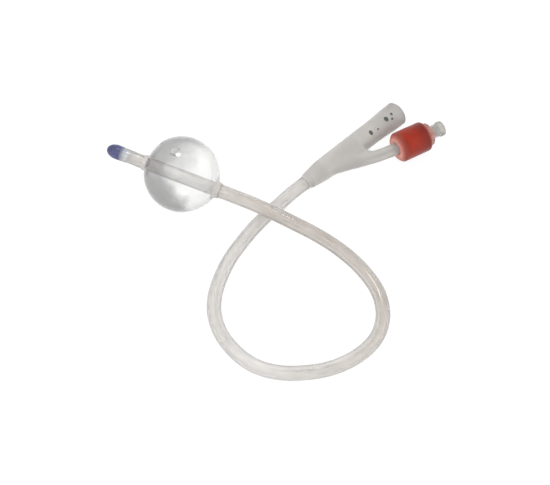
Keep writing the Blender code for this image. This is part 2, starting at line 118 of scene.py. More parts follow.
VALVE_PLACE = Vector((0.0400, -0.0151, 0.00115))
VALVE_ANGLE = math.radians(-14.1)
SEAT_GAP = 0.00015
SLEEVE_R = 0.0068
SLEEVE_LENGTH = 0.0159
SLEEVE_CHAMFER = 0.0014
HOUSING_R = 0.0044
CHAMBER_R = 0.0032
FLANGE_R = 0.0053
FLANGE_LENGTH = 0.0011
CONE_LENGTH = 0.0020
PORT_LENGTH = 0.0084
PORT_R = 0.0030
PORT_LIP_R = 0.00345
PORT_LIP_LENGTH = 0.0022
LUER_MOUTH_R = 0.002135
LUER_TAPER = 0.06
LUER_DEPTH = 0.0066
THROAT_R = 0.0015
THROAT_LENGTH = 0.0014
END_DISC_LENGTH = 0.0012
BARB_TUBE_R = 0.0013
BARB_R = 0.00175
BARB_LENGTH = 0.0048
BARB_END_GAP = 0.0004
BARB_TAPER_LENGTH = 0.0022
BARB_BORE_R = 0.0007
STROKE = 0.0018
SYRINGE_REACH = 0.0058
NOSE_R = 0.0009
NOSE_EDGE = 0.0002
NOSE_SLOT = 0.0005
HEAD_R = 0.0023
HEAD_LENGTH = 0.0009
TAIL_R = 0.0007
TAIL_LENGTH = 0.0016
SLIDE_GAP = 0.00008
SEAL_R = 0.0022
SEAL_LENGTH = 0.0008

PORT_END = SLEEVE_LENGTH + PORT_LENGTH
LUER_END = PORT_END - LUER_DEPTH
CHAMBER_END = LUER_END - THROAT_LENGTH
SEAL_START = CHAMBER_END - SLIDE_GAP - SEAL_LENGTH
HEAD_START = SEAL_START - SLIDE_GAP - HEAD_LENGTH
DISC_START = ARM_INSERT + SEAT_GAP
DISC_END = DISC_START + END_DISC_LENGTH

# Looks and finer detail
VIEW_SIDE = Vector((-0.4573, -0.4518, 0.7660))  # from the object to the camera
FILM = 0.00003  # by which a skin goes into what it clings to
SEATED = 0.00005  # between pieces that are pushed together
BOND_FOOT = 0.0001  # by which a bond's bead goes into the tube
SHARP = 35.0  # degrees between faces past which an edge stays sharp
SECTION_SAMPLES = 361
SILICONE_IOR = 1.41
NOISE_ROUGHNESS = 0.55

# The tube's route: straight out of the hub, the loop, straight through the balloon
TUBE_START_X = -0.02445
EXIT_X = -0.04215
STRAIGHT_START = -0.0240
LOOP = [
    (-0.050, 0.0096, 0.0050), (-0.058, 0.0094, 0.0043), (-0.066, 0.0087, 0.0037),
    (-0.075, 0.0070, 0.0033), (-0.085, 0.0042, 0.0031), (-0.094, 0.0002, 0.0030),
    (-0.103, -0.0054, 0.0030), (-0.110, -0.0125, 0.0030), (-0.115, -0.0220, 0.0030),
    (-0.117, -0.0330, 0.0030), (-0.116, -0.0425, 0.0030), (-0.112, -0.0505, 0.0030),
    (-0.106, -0.0570, 0.0030), (-0.098, -0.0628, 0.0030), (-0.089, -0.0664, 0.0030),
    (-0.079, -0.0675, 0.0030), (-0.070, -0.0657, 0.0032), (-0.062, -0.0606, 0.0037),
    (-0.056, -0.0527, 0.0045), (-0.053, -0.0435, 0.0055), (-0.052, -0.0340, 0.0067),
    (-0.0525, -0.0245, 0.0079), (-0.054, -0.0155, 0.0089), (-0.0563, -0.0060, 0.0097),
    (-0.0588, 0.0035, 0.0104), (-0.0615, 0.0125, 0.0112),
]


def place_on(origin, heading, rise=0.0):
    """The matrix of an axis that starts at origin and points along heading and rise."""
    turn = Matrix.Rotation(heading, 4, "Z") @ Matrix.Rotation(-rise, 4, "Y")
    return Matrix.Translation(origin) @ turn


BALLOON_PLACE = Vector((-0.0744, 0.0442, BALLOON_R - BALLOON_LIFT * math.cos(TIP_RISE)))
TIP_AXIS = place_on(BALLOON_PLACE, TIP_HEADING, TIP_RISE)
HUB_AXIS = place_on(HUB_PLACE, 0.0)
VALVE_AXIS = HUB_AXIS @ place_on(VALVE_PLACE, VALVE_ANGLE)


# Settings that a user would change

def length_setting(name, description, default):
    return FloatProperty(name=name, description=description, default=default, unit="LENGTH")


def colour_setting(name, description, default):
    return FloatVectorProperty(name=name, description=description, default=default,
                               subtype="COLOR", min=0.0, max=1.0)


def share_setting(name, description, default):
    return FloatProperty(name=name, description=description, default=default,
                         subtype="FACTOR", min=0.0, max=1.0)


def power_setting(name, description, default):
    return FloatProperty(name=name, description=description, default=default, unit="POWER")


class TubeSettings(bpy.types.PropertyGroup):
    diameter: length_setting("Tube Diameter", "Outer diameter of the tube", 2 * TUBE_R)
    drain_lumen: length_setting("Drainage Lumen", "Bore of the drainage channel", 0.0027)
    inflation_lumen: length_setting("Inflation Lumen", "Bore of the channel to the balloon",
                                    0.0007)
    eye_length: length_setting("Eye Length", "Length of a drainage eye", 0.0042)
    eye_width: length_setting("Eye Width", "Width of a drainage eye", 0.0021)
    colour: colour_setting("Tube Colour", "Colour of the clear silicone", (0.865, 0.83, 0.785))
    clearness: share_setting("Tube Clearness", "How much light passes through", 0.66)


class TipSettings(bpy.types.PropertyGroup):
    colour: colour_setting("Tip Colour", "Colour of the blue silicone tip",
                           (0.096, 0.104, 0.235))


class BalloonSettings(bpy.types.PropertyGroup):
    pleats: IntProperty(name="Pleats", description="Number of fine pleats round each cuff",
                        default=22)
    pleat_depth: length_setting("Pleat Depth", "Depth of the pleats at the cuff", 0.00022)
    drop: length_setting("Water Drop", "Diameter of the largest drop under the skin", 0.0042)
    colour: colour_setting("Balloon Colour", "Tint of the balloon's skin", (0.985, 0.985, 0.98))


class HubSettings(bpy.types.PropertyGroup):
    colour: colour_setting("Hub Colour", "Colour of the frosted silicone", (0.76, 0.74, 0.71))
    clearness: share_setting("Hub Clearness", "How much light passes through", 0.55)
    ink: colour_setting("Ink Colour", "Colour of the printed marks", (0.055, 0.060, 0.050))
    mark_depth: length_setting("Mark Depth", "Thickness of the printed ink", 0.00004)


class ValveSettings(bpy.types.PropertyGroup):
    sleeve_colour: colour_setting("Sleeve Colour", "Colour of the size sleeve",
                                  (0.385, 0.022, 0.004))
    port_colour: colour_setting("Port Colour", "Colour of the clear port", (0.63, 0.615, 0.58))
    spring_turns: FloatProperty(name="Spring Turns", description="Turns of the return spring",
                                default=4.5)
    spring_diameter: length_setting("Spring Diameter", "Mean diameter of the spring", 0.0030)
    wire: length_setting("Spring Wire", "Diameter of the spring's wire", 0.00035)


class StageSettings(bpy.types.PropertyGroup):
    look_at: FloatVectorProperty(name="Look At", description="Point in the middle of the picture",
                                 default=(-0.0638, -0.0011, 0.0), unit="LENGTH")
    distance: length_setting("Camera Distance", "From the point to the camera", 0.650)
    lens: FloatProperty(name="Lens", description="Focal length in millimetres", default=100.7,
                        unit="CAMERA")
    key_power: power_setting("Key Power", "Power of the large soft lamp", 3.6)
    fill_power: power_setting("Fill Power", "Power of the second lamp", 1.2)
    spark_power: power_setting("Spark Power", "Power of the small lamp", 1.6)
    floor: colour_setting("Floor Colour", "Colour of the pale floor", (0.86, 0.86, 0.85))


class CatheterSettings(bpy.types.PropertyGroup):
    tube: PointerProperty(type=TubeSettings)
    tip: PointerProperty(type=TipSettings)
    balloon: PointerProperty(type=BalloonSettings)
    hub: PointerProperty(type=HubSettings)
    valve: PointerProperty(type=ValveSettings)
    stage: PointerProperty(type=StageSettings)


# Node trees

class Nodes:
    """Short calls for the nodes of one tree."""

    def __init__(self, tree):
        self.tree = tree

    def feed(self, socket, value):
        """Link an output to an input, or set the input's value."""
        if isinstance(value, bpy.types.NodeSocket):
            self.tree.links.new(value, socket)
        else:
            socket.default_value = value

    def node(self, kind, inputs=(), **settings):
        made = self.tree.nodes.new(kind)
        for name, value in settings.items():
            setattr(made, name, value)
        for socket, value in dict(inputs).items():
            self.feed(made.inputs[socket], value)
        return made

    def maths(self, kind, first, second=0.0):
        return self.node("ShaderNodeMath", {0: first, 1: second}, operation=kind).outputs[0]

    def product(self, first, *others):
        for other in others:
            first = self.maths("MULTIPLY", first, other)
        return first

    def parts(self, vector):
        """The X, Y and Z of a vector."""
        return self.node("ShaderNodeSeparateXYZ", {0: vector}).outputs


# Materials

def shade(colour, factor):
    return tuple(min(1.0, c * factor) for c in colour)


def filled(colour):
    return (*colour, 1.0)


class Finish(Nodes):
    """A material with one Principled shader, and short calls for the nodes behind it."""

    def __init__(self, name, roughness, **sockets):
        self.material = bpy.data.materials.new(name)
        self.material.use_nodes = True
        super().__init__(self.material.node_tree)
        self.shader = self.tree.nodes["Principled BSDF"].inputs
        self.shader["Roughness"].default_value = roughness
        for socket, value in sockets.items():
            self.shader[socket.replace("_", " ")].default_value = value
        self.place = self.node("ShaderNodeTexCoord").outputs["Object"]

    def stretched(self, place, scale):
        return self.node("ShaderNodeMapping", {"Vector": place, "Scale": scale}).outputs[0]

    def along(self, axis):
        """Object coordinates turned so that X runs along an axis from its start."""
        return self.node("ShaderNodeMapping",
                         {"Vector": self.place, "Location": axis.to_translation(),
                          "Rotation": axis.to_euler()}, vector_type="TEXTURE").outputs[0]

    def noise(self, scale, detail=3.0, place=None):
        return self.node("ShaderNodeTexNoise",
                         {"Vector": place or self.place, "Scale": scale, "Detail": detail,
                          "Roughness": NOISE_ROUGHNESS}).outputs["Fac"]

    def spread(self, value, low, high, to_low=0.0, to_high=1.0):
        """Turn the range from low to high smoothly into the range from to_low to to_high."""
        return self.node("ShaderNodeMapRange",
                         {"Value": value, "From Min": low, "From Max": high, "To Min": to_low,
                          "To Max": to_high}, interpolation_type="SMOOTHSTEP").outputs["Result"]

    def blend(self, share, first, second, kind="MIX"):
        made = self.node("ShaderNodeMix", data_type="RGBA", blend_type=kind)
        self.feed(made.inputs[0], share)
        for socket, value in ((made.inputs[6], first), (made.inputs[7], second)):
            self.feed(socket, value if isinstance(value, bpy.types.NodeSocket) else filled(value))
        return made.outputs[2]

    def toward(self, tone, other, *ramp):
        """The tone, turned into the other colour where spread(*ramp) rises."""
        return self.blend(self.spread(*ramp), tone, other)

    def mottled(self, colour, darker, lighter, patches, low, high):
        return self.toward(shade(colour, darker), shade(colour, lighter), patches, low, high)

    def colour(self, value):
        self.feed(self.shader["Base Color"], value)

    def rough(self, *ramp):
        self.feed(self.shader["Roughness"], self.spread(*ramp))

    def bump(self, height, distance, strength):
        """Add a bump over any bump that is there."""
        made = self.node("ShaderNodeBump",
                         {"Distance": distance, "Strength": strength, "Height": height})
        normal = self.shader["Normal"]
        if normal.is_linked:
            self.feed(made.inputs["Normal"], normal.links[0].from_socket)
        self.feed(normal, made.outputs["Normal"])

    def rim(self, tone, start, end, depth):
        """Clear rubber is deeper in colour where the eye looks along its wall."""
        facing = self.node("ShaderNodeLayerWeight", {"Blend": 0.5}).outputs["Facing"]
        deep = self.blend(1.0, tone, (depth, depth, depth), "MULTIPLY")
        return self.toward(tone, deep, facing, start, end)

    def clear_to_lamps(self, share, tint):
        """Let the lamps' light through, as thin clear rubber or plastic does."""
        shadow = self.node("ShaderNodeLightPath").outputs["Is Shadow Ray"]
        through = self.node("ShaderNodeBsdfTransparent", {"Color": filled(tint)})
        solid = self.tree.nodes["Principled BSDF"]
        mix = self.node("ShaderNodeMixShader", {0: self.product(shadow, share),
                                                1: solid.outputs[0], 2: through.outputs[0]})
        self.feed(self.tree.nodes["Material Output"].inputs["Surface"], mix.outputs[0])


def tube_silicone(colour, clearness):
    """Clear extruded silicone: a little milky, with faint lines along it."""
    finish = Finish("tube_silicone", 0.18, IOR=SILICONE_IOR, Coat_Weight=0.7,
                    Coat_Roughness=0.07, Coat_IOR=SILICONE_IOR)
    around = finish.node("ShaderNodeUVMap", uv_map="around").outputs[0]
    streak = finish.noise(1.0, 3.0, finish.stretched(around, (34.0, 1.2, 1.0)))
    drift = finish.noise(1.0, 2.0, finish.stretched(around, (2.0, 0.55, 1.0)))
    tone = finish.mottled(colour, 0.97, 1.03, finish.noise(130.0, 4.0), 0.3, 0.7)
    tone = finish.toward(tone, shade(colour, 0.90), streak, 0.42, 0.70, 0.0, 0.30)

    # Milky in patches, paler near the hub as a painted highlight on that part of the loop, and
    # browner on the strand that rises to the balloon
    from_hub = finish.parts(around)["Y"]
    milky_and_highlight = finish.maths("MAXIMUM", finish.spread(drift, 0.50, 0.68, 0.0, 0.45),
                         finish.spread(from_hub, 12.5, 18.5, 0.9, 0.0))
    tone = finish.blend(milky_and_highlight, tone, tuple(0.5 * c + 0.49 for c in colour))
    strand = finish.product(finish.spread(from_hub, 17.0, 20.0),
                            finish.spread(from_hub, 25.0, 27.5, 1.0, 0.0), 0.55)
    tone = finish.blend(strand, tone, (0.72, 0.665, 0.62))

    # Paler inside the balloon as a painted highlight on the tube there, and a cooler grey and less
    # clear up to the tip
    along = finish.parts(finish.along(TIP_AXIS))["X"]
    cuff = BALLOON_R + CUFF_LENGTH
    inside = finish.product(finish.spread(along, -cuff, -BALLOON_R, 0.0, 0.65),
                            finish.spread(along, BALLOON_R, cuff, 1.0, 0.0))
    tone = finish.blend(inside, tone, (0.97, 0.97, 0.96))
    tone = finish.toward(tone, (0.76, 0.77, 0.79), along, BALLOON_R + 0.0020, TIP_JOINT - 0.0010,
                         0.0, 0.6)
    finish.colour(finish.rim(tone, 0.18, 0.74, 0.56))
    clear = finish.spread(drift, 0.35, 0.7, clearness - 0.10, clearness + 0.08)
    end = finish.spread(along, TIP_JOINT - 0.0030, TIP_JOINT - 0.0006, 1.0, 0.3)
    finish.feed(finish.shader["Transmission Weight"], finish.product(clear, end))
    finish.rough(finish.noise(420.0), 0.3, 0.75, 0.14, 0.22)
    finish.bump(streak, 0.00004, 0.06)
    finish.clear_to_lamps(0.75, (0.88, 0.87, 0.85))
    return finish.material


def tip_silicone(colour):
    """Blue silicone that is pale where it is thin, over the end of the tube."""
    finish = Finish("tip_silicone", 0.26, IOR=SILICONE_IOR, Transmission_Weight=0.10,
                    Subsurface_Weight=0.15, Subsurface_Scale=0.0012)
    along = finish.parts(finish.along(TIP_AXIS))["X"]
    tone = finish.mottled(colour, 0.8, 1.35, finish.noise(260.0, 4.0), 0.3, 0.75)
    finish.colour(finish.toward(tuple(0.50 * c + 0.44 for c in colour), tone, along,
                                TIP_JOINT + 0.0001, TIP_JOINT + 0.0026))
    finish.rough(finish.noise(600.0), 0.3, 0.75, 0.18, 0.32)
    finish.bump(finish.noise(1300.0), 0.00003, 0.2)
    return finish.material


def balloon_silicone(colour):
    """Clear stretched rubber with painted shade on two flanks, and milky where it is bonded."""
    finish = Finish("balloon_silicone", 0.04, IOR=SILICONE_IOR)
    centre = finish.along(Matrix.Translation(BALLOON_PLACE + Vector((0, 0, BALLOON_LIFT))))
    drift = finish.spread(finish.noise(70.0), 0.3, 0.7, -0.003, 0.003)

    def shaded_flank(direction, start, end):
        reach = finish.node("ShaderNodeVectorMath", {0: centre, 1: direction},
                            operation="DOT_PRODUCT")
        return finish.spread(finish.maths("ADD", reach.outputs["Value"], drift), start, end)

    # Painted shade: two flanks of the skin are greyed, standing in for the shade a clear ball
    # shows
    painted_shade = finish.maths("MAXIMUM", shaded_flank((-0.887, 0.178, -0.424), 0.0042, 0.0112),
                         finish.product(shaded_flank((-0.168, 0.889, 0.424), -0.0026, 0.0100), 0.85))
    tone = finish.rim(finish.blend(painted_shade, colour, shade(colour, 0.62)), 0.22, 0.78, 0.74)
    along = finish.maths("ABSOLUTE", finish.parts(finish.along(TIP_AXIS))["X"])
    cuff = finish.spread(along, BALLOON_R - 0.0012, BALLOON_R)
    finish.colour(finish.blend(cuff, tone, (0.84, 0.81, 0.785)))
    finish.feed(finish.shader["Transmission Weight"],
                finish.maths("SUBTRACT", 0.97, finish.product(cuff, 0.55)))
    finish.rough(finish.noise(300.0), 0.35, 0.8, 0.02, 0.08)
    finish.bump(finish.noise(160.0, 2.0), 0.00008, 0.2)
    finish.clear_to_lamps(0.9, (0.95, 0.95, 0.95))
    return finish.material


def sterile_water():
    finish = Finish("sterile_water", 0.0, IOR=1.333, Transmission_Weight=1.0)
    finish.colour(finish.blend(finish.noise(60.0, 1.0), (0.985, 0.99, 0.99), (1.0, 1.0, 1.0)))
    finish.clear_to_lamps(0.95, (0.99, 0.99, 0.99))
    return finish.material


def hub_silicone(colour, clearness):
    """Frosted silicone, paler over the socket as a painted highlight, with painted shade at the
    mouth where the dark bore shows, and darker on the arm.
    """
    finish = Finish("hub_silicone", 0.42, IOR=SILICONE_IOR, Transmission_Weight=clearness)
    place = finish.parts(finish.along(HUB_AXIS))
    haze = finish.noise(900.0)
    tone = finish.mottled(colour, 0.93, 1.06, finish.noise(75.0, 5.0), 0.32, 0.72)
    tone = finish.toward(tone, shade(colour, 1.15), haze, 0.5, 0.8, 0.0, 0.18)
    # Painted highlight over the socket, painted shade at the mouth for the dark bore, and darker
    # on the arm
    for factor, way, low, high, share in ((1.16, "X", SOCKET_DEPTH, 0.0, 0.7),
                                          (0.66, "X", HUB_LENGTH - 0.0080, HUB_LENGTH, 0.9),
                                          (0.86, "Y", -0.0050, -0.0110, 0.8)):
        tone = finish.toward(tone, shade(colour, factor), place[way], low, high, 0.0, share)
    finish.colour(tone)
    finish.rough(finish.noise(350.0, 4.0), 0.3, 0.75, 0.34, 0.50)
    finish.bump(haze, 0.00004, 0.3)
    finish.bump(finish.noise(2600.0, 2.0), 0.00002, 0.3)
    finish.clear_to_lamps(0.7, (0.86, 0.86, 0.85))
    return finish.material


def print_ink(colour):
    finish = Finish("print_ink", 0.5)
    worn = finish.noise(1800.0, 4.0)
    finish.colour(finish.toward(colour, tuple(c + 0.16 for c in colour), worn, 0.35, 0.75))
    finish.rough(worn, 0.3, 0.8, 0.40, 0.62)
    finish.bump(worn, 0.00002, 0.5)
    return finish.material


def sleeve_plastic(colour):
    """Red silicone: pink at its two ends, darker along its edges, and with painted shade below and
    towards its outer end.
    """
    finish = Finish("sleeve_red", 0.34, IOR=1.43)
    axis = finish.along(VALVE_AXIS)
    place = finish.parts(axis)
    along = place["X"]
    out = finish.node("ShaderNodeVectorMath", {0: finish.stretched(axis, (0.0, 1.0, 1.0))},
                      operation="LENGTH").outputs["Value"]
    pink = (0.80, 0.35, 0.28)
    deep = shade(colour, 0.45)
    tone = finish.mottled(colour, 0.82, 1.12, finish.noise(210.0, 4.0), 0.3, 0.75)
    inner = finish.product(finish.spread(along, 0.0004, 0.0030, 0.95, 0.0),
                           finish.spread(out, 0.0042, 0.0058, 1.0, 0.35))
    tone = finish.blend(inner, tone, pink)
    edge = finish.maths("ADD", finish.spread(along, SLEEVE_CHAMFER, 0.0032, 1.0, 0.0),
                        finish.spread(along, SLEEVE_LENGTH - 0.0034, SLEEVE_LENGTH - 0.0012))
    skin = finish.spread(out, SLEEVE_R - 0.0012, SLEEVE_R - 0.0004, 0.0, 0.55)
    tone = finish.blend(finish.product(edge, skin), tone, deep)
    # Painted shade: darker on the underside and towards the outer end
    shaded = finish.maths("MAXIMUM", finish.spread(place["Z"], 0.0030, -SLEEVE_R, 0.0, 0.75),
                          finish.spread(along, 0.0050, 0.0140, 0.0, 0.75))
    body = finish.spread(along, 0.0010, 0.0035)
    tone = finish.blend(finish.product(shaded, body), tone, deep)
    finish.colour(finish.toward(tone, pink, along, SLEEVE_LENGTH - 0.0026, SLEEVE_LENGTH,
                                0.0, 0.55))
    finish.rough(finish.noise(500.0), 0.3, 0.75, 0.28, 0.44)
    finish.bump(finish.noise(1100.0), 0.00003, 0.25)
    finish.bump(finish.noise(140.0, 2.0), 0.00012, 0.2)
    return finish.material


def port_plastic(colour):
    """Clear plastic with faint turned rings, and a flange painted with the sleeve's red as light
    from the sleeve.
    """
    finish = Finish("port_clear", 0.18, IOR=1.50, Transmission_Weight=0.62)
    axis = finish.along(VALVE_AXIS)
    cloud = finish.noise(240.0)
    tone = finish.mottled(colour, 0.92, 1.08, cloud, 0.35, 0.75)
    # Painted light: the flange takes on the red that the sleeve beside it would shine into it
    finish.colour(finish.toward(tone, (0.86, 0.50, 0.46), finish.parts(axis)["X"],
                                SLEEVE_LENGTH + FLANGE_LENGTH, SLEEVE_LENGTH + 0.0034, 1.0, 0.0))
    rings = finish.node("ShaderNodeTexWave", {"Vector": axis, "Scale": 900.0, "Distortion": 1.5},
                        wave_type="BANDS", bands_direction="X")
    finish.rough(cloud, 0.3, 0.8, 0.12, 0.28)
    finish.bump(rings.outputs["Fac"], 0.00001, 0.1)
    finish.bump(finish.noise(900.0), 0.00003, 0.12)
    finish.clear_to_lamps(0.75, (0.93, 0.93, 0.92))
    return finish.material


def moulded_plastic(name, colour, roughness):
    finish = Finish(name, roughness)
    cloud = finish.noise(500.0, 4.0)
    finish.colour(finish.mottled(colour, 0.9, 1.06, cloud, 0.3, 0.75))
    finish.rough(cloud, 0.3, 0.8, roughness * 0.8, roughness * 1.25)
    finish.bump(finish.noise(2400.0), 0.00002, 0.4)
    return finish.material


def bond_adhesive(colour):
    finish = Finish("bond_adhesive", 0.22, IOR=SILICONE_IOR, Transmission_Weight=0.35,
                    Subsurface_Weight=0.2, Subsurface_Scale=0.0008)
    cloud = finish.noise(700.0)
    finish.colour(finish.mottled(colour, 1.05, 1.30, cloud, 0.3, 0.7))
    finish.rough(cloud, 0.3, 0.8, 0.16, 0.32)
    finish.bump(cloud, 0.00006, 0.5)
    return finish.material


def drawn_wire():
    finish = Finish("spring_steel", 0.26, Metallic=1.0)
    scratch = finish.noise(2500.0, 4.0)
    finish.colour(finish.toward((0.62, 0.62, 0.60), (0.46, 0.46, 0.45), scratch, 0.3, 0.8))
    finish.rough(scratch, 0.3, 0.8, 0.18, 0.36)
    finish.bump(scratch, 0.00001, 0.4)
    return finish.material


# Meshes

def shaded(mesh, sharp):
    """Smooth shading, with the edges past an angle in degrees kept sharp."""
    mesh.shade_smooth()
    mesh.set_sharp_from_angle(angle=math.radians(sharp))


def added(name, mesh, look=None):
    """An object for the mesh, in the scene."""
    if look is not None:
        mesh.materials.append(look)
    made = bpy.data.objects.new(name, mesh)
    bpy.context.scene.collection.objects.link(made)
    return made


def piece(name, points, faces, look=None):
    mesh = bpy.data.meshes.new(name)
    mesh.from_pydata([tuple(p) for p in points], [], faces)
    shape = bmesh.new()
    shape.from_mesh(mesh)
    bmesh.ops.recalc_face_normals(shape, faces=shape.faces)
    shape.to_mesh(mesh)
    shape.free()
    shaded(mesh, SHARP)
    return added(name, mesh, look)


def bridge(first, second):
    count = len(first)
    return [(first[i], first[(i + 1) % count], second[(i + 1) % count], second[i])
            for i in range(count)]


def tunnel(rings, first_number=0):
    """The points of rings of equal size, the faces between them, and the two end rings."""
    sides = len(rings[0])
    numbers = [list(range(first_number + k * sides, first_number + (k + 1) * sides))
               for k in range(len(rings))]
    faces = [face for pair in zip(numbers, numbers[1:]) for face in bridge(*pair)]
    return [point for ring in rings for point in ring], faces, numbers[0], numbers[-1]


def lofted(name, rings, look=None, closed=False):
    """A skin through the rings, with its ends joined up or capped."""
    points, faces, start, end = tunnel(rings)
    faces += bridge(end, start) if closed else [tuple(start), tuple(end)]
    return piece(name, points, faces, look)


def circle(count):
    """The cosine and sine of evenly spaced angles."""
    return [(math.cos(2 * math.pi * k / count), math.sin(2 * math.pi * k / count))
            for k in range(count)]


def curved(first, corner, last, t):
    """A point on the parabola from first to last that heads for the corner."""
    return tuple(a * (1 - t) ** 2 + b * 2 * t * (1 - t) + c * t ** 2
                 for a, b, c in zip(first, corner, last))


def softened(profile, reach, steps=4, closed=True):
    """The same (x, radius) profile with its corners rounded."""
    count = len(profile)
    result = []
    for k, corner in enumerate(profile):
        if not closed and k in (0, count - 1):
            result.append(corner)
            continue
        corner = np.array(corner, float)
        sides = [np.array(profile[(k + step) % count], float) - corner for step in (-1, 1)]
        lengths = [float(np.linalg.norm(side)) for side in sides]
        cut_back = min(reach, 0.45 * min(lengths))
        first, last = [corner + side * cut_back / length for side, length in zip(sides, lengths)]
        result += [curved(first, corner, last, t) for t in np.linspace(0.0, 1.0, steps + 1)]
    return result


def turned(name, axis, profile, look=None, closed=True, sides=72):
    """A shape turned about an axis from its (x, radius) profile."""
    rings = [[axis @ Vector((x, radius * c, radius * s)) for c, s in circle(sides)]
             for x, radius in profile]
    return lofted(name, rings, look, closed)


def finished(made):
    """Turn an object's modifiers into plain mesh."""
    graph = bpy.context.evaluated_depsgraph_get()
    mesh = bpy.data.meshes.new_from_object(made.evaluated_get(graph), depsgraph=graph)
    made.modifiers.clear()
    made.data = mesh


def cut(target, cutters):
    """Take the cutters' shapes out of the target."""
    for cutter in cutters:
        boolean = target.modifiers.new(cutter.name, "BOOLEAN")
        boolean.operation = "DIFFERENCE"
        boolean.solver = "EXACT"
        boolean.object = cutter
    finished(target)
    for cutter in cutters:
        bpy.data.objects.remove(cutter)
    shaded(target.data, SHARP)


def ridden(made, *nodes, slot, body=BODY):
    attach(made, body)
    if nodes:
        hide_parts(*nodes)


def distances(points):
    """How far along their line each of the points lies."""
    return np.concatenate([[0.0], np.cumsum(np.linalg.norm(np.diff(points, axis=0), axis=1))])


def spaced(points, count):
    """A number of evenly spaced points on the line through the points."""
    along = distances(points)
    places = np.linspace(0.0, along[-1], count)
    return np.array([np.interp(places, along, column) for column in points.T]).T


def smooth(route, step):
    """Points a fixed step apart on the smooth curve through the route's points."""
    route = np.array(route, dtype=float)
    knots = np.vstack([2 * route[0] - route[1], route, 2 * route[-1] - route[-2]])
    fine = []
    for a, b, c, d in zip(knots, knots[1:], knots[2:], knots[3:]):
        for t in np.linspace(0.0, 1.0, 24, endpoint=False):
            fine.append(0.5 * (2 * b + (c - a) * t + (2 * a - 5 * b + 4 * c - d) * t ** 2
                               + (3 * b - a - 3 * c + d) * t ** 3))
    fine = np.array([*fine, route[-1]])
    return spaced(fine, round(distances(fine)[-1] / step) + 1)


def tube_route():
    hub_end = [(x, HUB_PLACE.y, HUB_PLACE.z) for x in (TUBE_START_X, HUB_PLACE.x, EXIT_X)]
    tip_end = [tuple(TIP_AXIS @ Vector((along, 0.0, 0.0)))
               for along in np.linspace(STRAIGHT_START, TIP_JOINT, 7)]
    return hub_end + LOOP + tip_end


def carried(path, start):
    """Ahead, side and up directions along a path, with no twist between its points."""
    ahead = np.gradient(path, axis=0)
    ahead /= np.linalg.norm(ahead, axis=1)[:, None]
    side = np.array(start, float)
    frames = []
    for direction in ahead:
        side = side - direction * side.dot(direction)
        side /= np.linalg.norm(side)
        frames.append((direction, side, np.cross(direction, side)))
    return frames


# The hub's skin, from the solid's own rules at a finer step

def funnel_radius(x):
    places = [0.0, LIP_ROUND, BODY_X / 2, BODY_X, CROTCH_X, FLARE_X,
              HUB_LENGTH - MOUTH_LAND, HUB_LENGTH - LIP_ROUND, HUB_LENGTH]
    radii = [NECK_R - NECK_WALL / 2, NECK_R, (NECK_R + BODY_R) / 2, BODY_R, CROTCH_R, FLARE_R,
             MOUTH_R, MOUTH_R, MOUTH_R - LIP_ROUND]
    return float(np.interp(x, places, radii))


def arm_point(t):
    """The inflation arm's axis: a Bezier curve, then straight along the valve."""
    leave = Vector((math.cos(ARM_START_ANGLE), math.sin(ARM_START_ANGLE), 0.0))
    arrive = Vector((math.cos(VALVE_ANGLE), math.sin(VALVE_ANGLE), 0.0))
    reach = (VALVE_PLACE - ARM_START).length
    if t > 1.0:
        return VALVE_PLACE + arrive * (t - 1.0) * ARM_INSERT
    first = ARM_START + leave * reach * ARM_START_PULL
    second = VALVE_PLACE - arrive * reach * ARM_END_PULL
    return (ARM_START * (1 - t) ** 3 + first * 3 * t * (1 - t) ** 2
            + second * 3 * t ** 2 * (1 - t) + VALVE_PLACE * t ** 3)


def arm_at(x):
    """Where on its axis the arm crosses a plane of constant x."""
    low, high = 0.0, 1.0
    for _ in range(40):
        middle = (low + high) / 2
        if arm_point(middle).x < x:
            low = middle
        else:
            high = middle
    return low


def arm_turn(t, step=0.01):
    """The arm's heading in plan."""
    ahead = arm_point(t + step) - arm_point(max(t - step, 0.0))
    return math.atan2(ahead.y, ahead.x)


def web_line(x):
    """The y at which the funnel's side of the hub meets the arm's side."""
    t = arm_at(CROTCH_X)
    near = arm_point(t).y + ARM_R / math.cos(arm_turn(t))
    return (near - funnel_radius(CROTCH_X)) / 2 * min(x / CROTCH_X, 1.0)


def hub_outline(x, angles):
    """The (y, z) points of the skin over the funnel's round and the arm's round."""
    c, s = np.cos(angles), np.sin(angles)
    wide = funnel_radius(x)
    t = arm_at(x)
    thin = ARM_R * min(x / ARM_START.x, 1.0)
    stretch = 1.0 / math.cos(arm_turn(t))
    size = np.hypot(c * stretch, s)
    arm_y = arm_point(t).y + thin * c * stretch ** 2 / size
    arm_z = arm_point(t).z + thin * s / size
    arm_reach = arm_y * c + arm_z * s
    lead = (arm_reach - wide) / HUB_BLEND
    share = 1.0 / (1.0 + np.exp(-lead))
    reach = np.maximum(wide, arm_reach) + HUB_BLEND * np.log1p(np.exp(-np.abs(lead)))
    proud = reach - wide * (1 - share) - arm_reach * share
    return np.array([wide * c * (1 - share) + arm_y * share + proud * c,
                     wide * s * (1 - share) + arm_z * share + proud * s]).T


def joined_section(x, funnel_count, arm_count):
    """The hub's outline in two halves, each from the top of the web to its bottom."""
    split = web_line(x)
    half_turn = np.linspace(0.0, math.pi, SECTION_SAMPLES)
    top = np.interp(-split, -hub_outline(x, half_turn)[:, 0], half_turn)
    low = np.interp(-split, -hub_outline(x, -half_turn)[:, 0], half_turn)
    dip = WEB_DIP * max((x - ARM_START.x) / (CROTCH_X - ARM_START.x), 0.0) ** 2
    halves = []
    for end, count in ((-low, funnel_count), (2 * math.pi - low, arm_count)):
        half = spaced(hub_outline(x, np.linspace(top, end, SECTION_SAMPLES)), count + 1)
        halves.append([(x, y, z * (1 - dip * math.exp(-((y - split) / WEB_DIP_WIDTH) ** 2)))
                       for y, z in half])
    return halves


